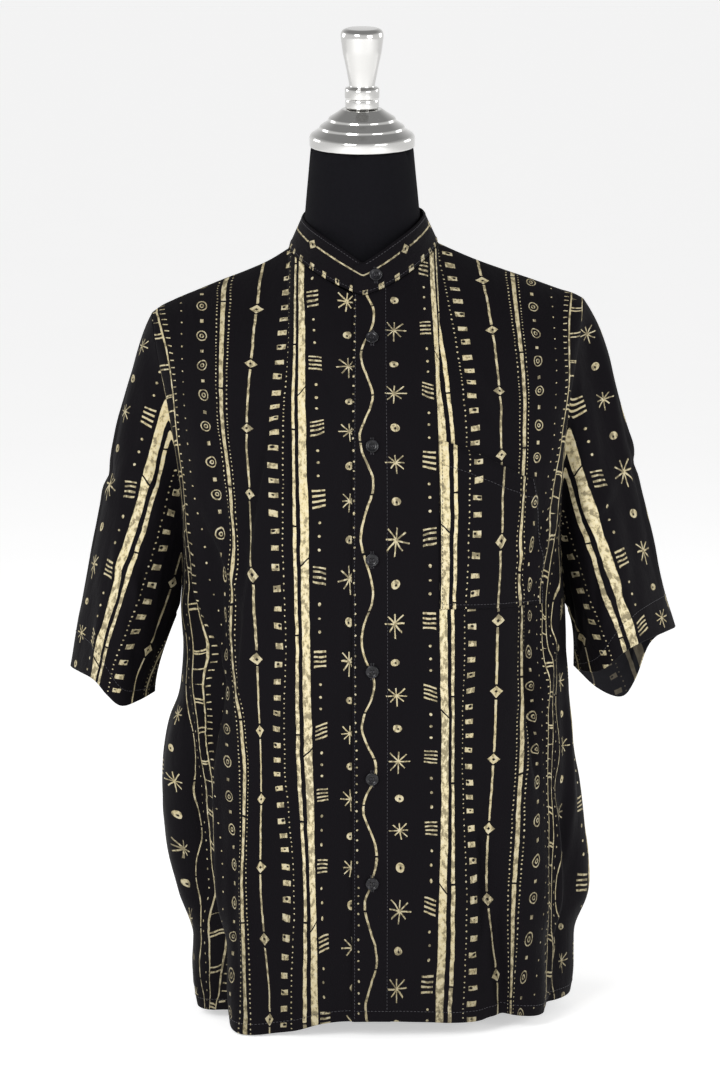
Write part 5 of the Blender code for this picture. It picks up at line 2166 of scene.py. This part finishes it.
@dataclass
class Studio:
    """Pale floor, soft light and the photo's camera."""

    floor_size: float = 900.0

    def add_floor(self) -> None:
        """A large floor just under the form's foot."""
        half = self.floor_size / 2
        points = np.array([(-half, -half, 0.0), (half, -half, 0.0), (half, half, 0.0), (-half, half, 0.0)])
        floor = make_piece("floor", points, np.array([[0, 1, 2, 3]]), [FloorFinish().build()])

    @staticmethod
    def add_light(name: str, place: Sequence[float], size: float, power: float) -> None:
        """A square soft light that faces the shirt's middle."""
        data = bpy.data.lights.new(name, "AREA")
        data.shape = "SQUARE"
        data.size = size
        data.energy = power
        lamp = new_object(name, data)
        lamp.location = place
        way = Vector(place) - Vector((0.0, 0.0, 0.5))
        lamp.rotation_euler = way.to_track_quat("Z", "Y").to_euler()

    def add_lights(self) -> None:
        """Soft lights in front, two from the sides behind, and a pale world.

        The world darkens overhead and is a little brighter near the horizon, where the floor ends.
        """
        self.add_light("key", (-1.4, -2.8, 1.9), 1.3, 70.0)
        self.add_light("fill", (2.1, -2.4, 1.2), 1.4, 34.0)
        self.add_light("edge_right", (-2.6, 1.3, 1.4), 1.2, 16.0)
        self.add_light("edge_left", (2.6, 1.3, 1.4), 1.2, 16.0)
        world = bpy.data.worlds.new("studio")
        world.use_nodes = True
        tree = world.node_tree
        ground = tree.nodes["Background"]
        ground.inputs["Color"].default_value = (1.0, 1.0, 1.0, 1.0)
        coords = tree.nodes.new("ShaderNodeTexCoord")
        parts = tree.nodes.new("ShaderNodeSeparateXYZ")
        tree.links.new(coords.outputs["Generated"], parts.inputs[0])
        overhead = ((Term(tree, parts.outputs[2]) - 0.30) * 2.2).math("MULTIPLY", 1.0, clamp=True)
        horizon = (Term(tree, parts.outputs[2]) * -7.0 + 1.9).math("MULTIPLY", 1.0, clamp=True)
        tree.links.new((overhead * -0.50 + horizon * 0.08 + 0.82).socket, ground.inputs["Strength"])
        bpy.context.scene.world = world

    @staticmethod
    def add_camera() -> None:
        """The camera at the photo's pitch and distance."""
        data = bpy.data.cameras.new("photo_camera")
        data.lens = VIEW_LENS
        data.sensor_width = 36.0
        camera = new_object("photo_camera", data)
        pitch = math.radians(VIEW_PITCH_DEG)
        way = Vector((0.0, -math.cos(pitch), math.sin(pitch)))
        camera.location = Vector(VIEW_TARGET) + way * VIEW_DISTANCE
        camera.rotation_euler = way.to_track_quat("Z", "Y").to_euler()
        bpy.context.scene.camera = camera

    def build(self) -> None:
        """Make the floor, the lights and the camera."""
        self.add_floor()
        self.add_lights()
        self.add_camera()
        bpy.context.scene.view_settings.view_transform = "Standard"


def main() -> None:
    """Dress the frame: studio, shirt, form and fittings."""
    logging.basicConfig(level=logging.INFO, format="%(message)s")
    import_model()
    Studio().build()
    face = PrintedCloth().build()
    reverse = PrintedCloth(
        ground=(0.0090, 0.0088, 0.0105, 1.0),
        pale=(0.150, 0.125, 0.085, 1.0),
        cream=(0.190, 0.165, 0.120, 1.0),
        print_share=0.55,
        name="printed_cotton_reverse",
    ).build()
    shirt = Shirt(ShirtFinishes(face, reverse, ThreadFinish().build(), ButtonFinish().build()))
    shirt.add_body()
    shirt.add_sleeves()
    shirt.add_collar()
    shirt.add_pocket()
    shirt.add_buttons()
    TorsoForm(JerseyFinish().build()).build()
    NeckFittings(ChromeFinish().build()).build()
    bpy.context.view_layer.update()
    LOG.info("pieces: %d", len(shirt.pieces))


if __name__ == "__main__":
    main()
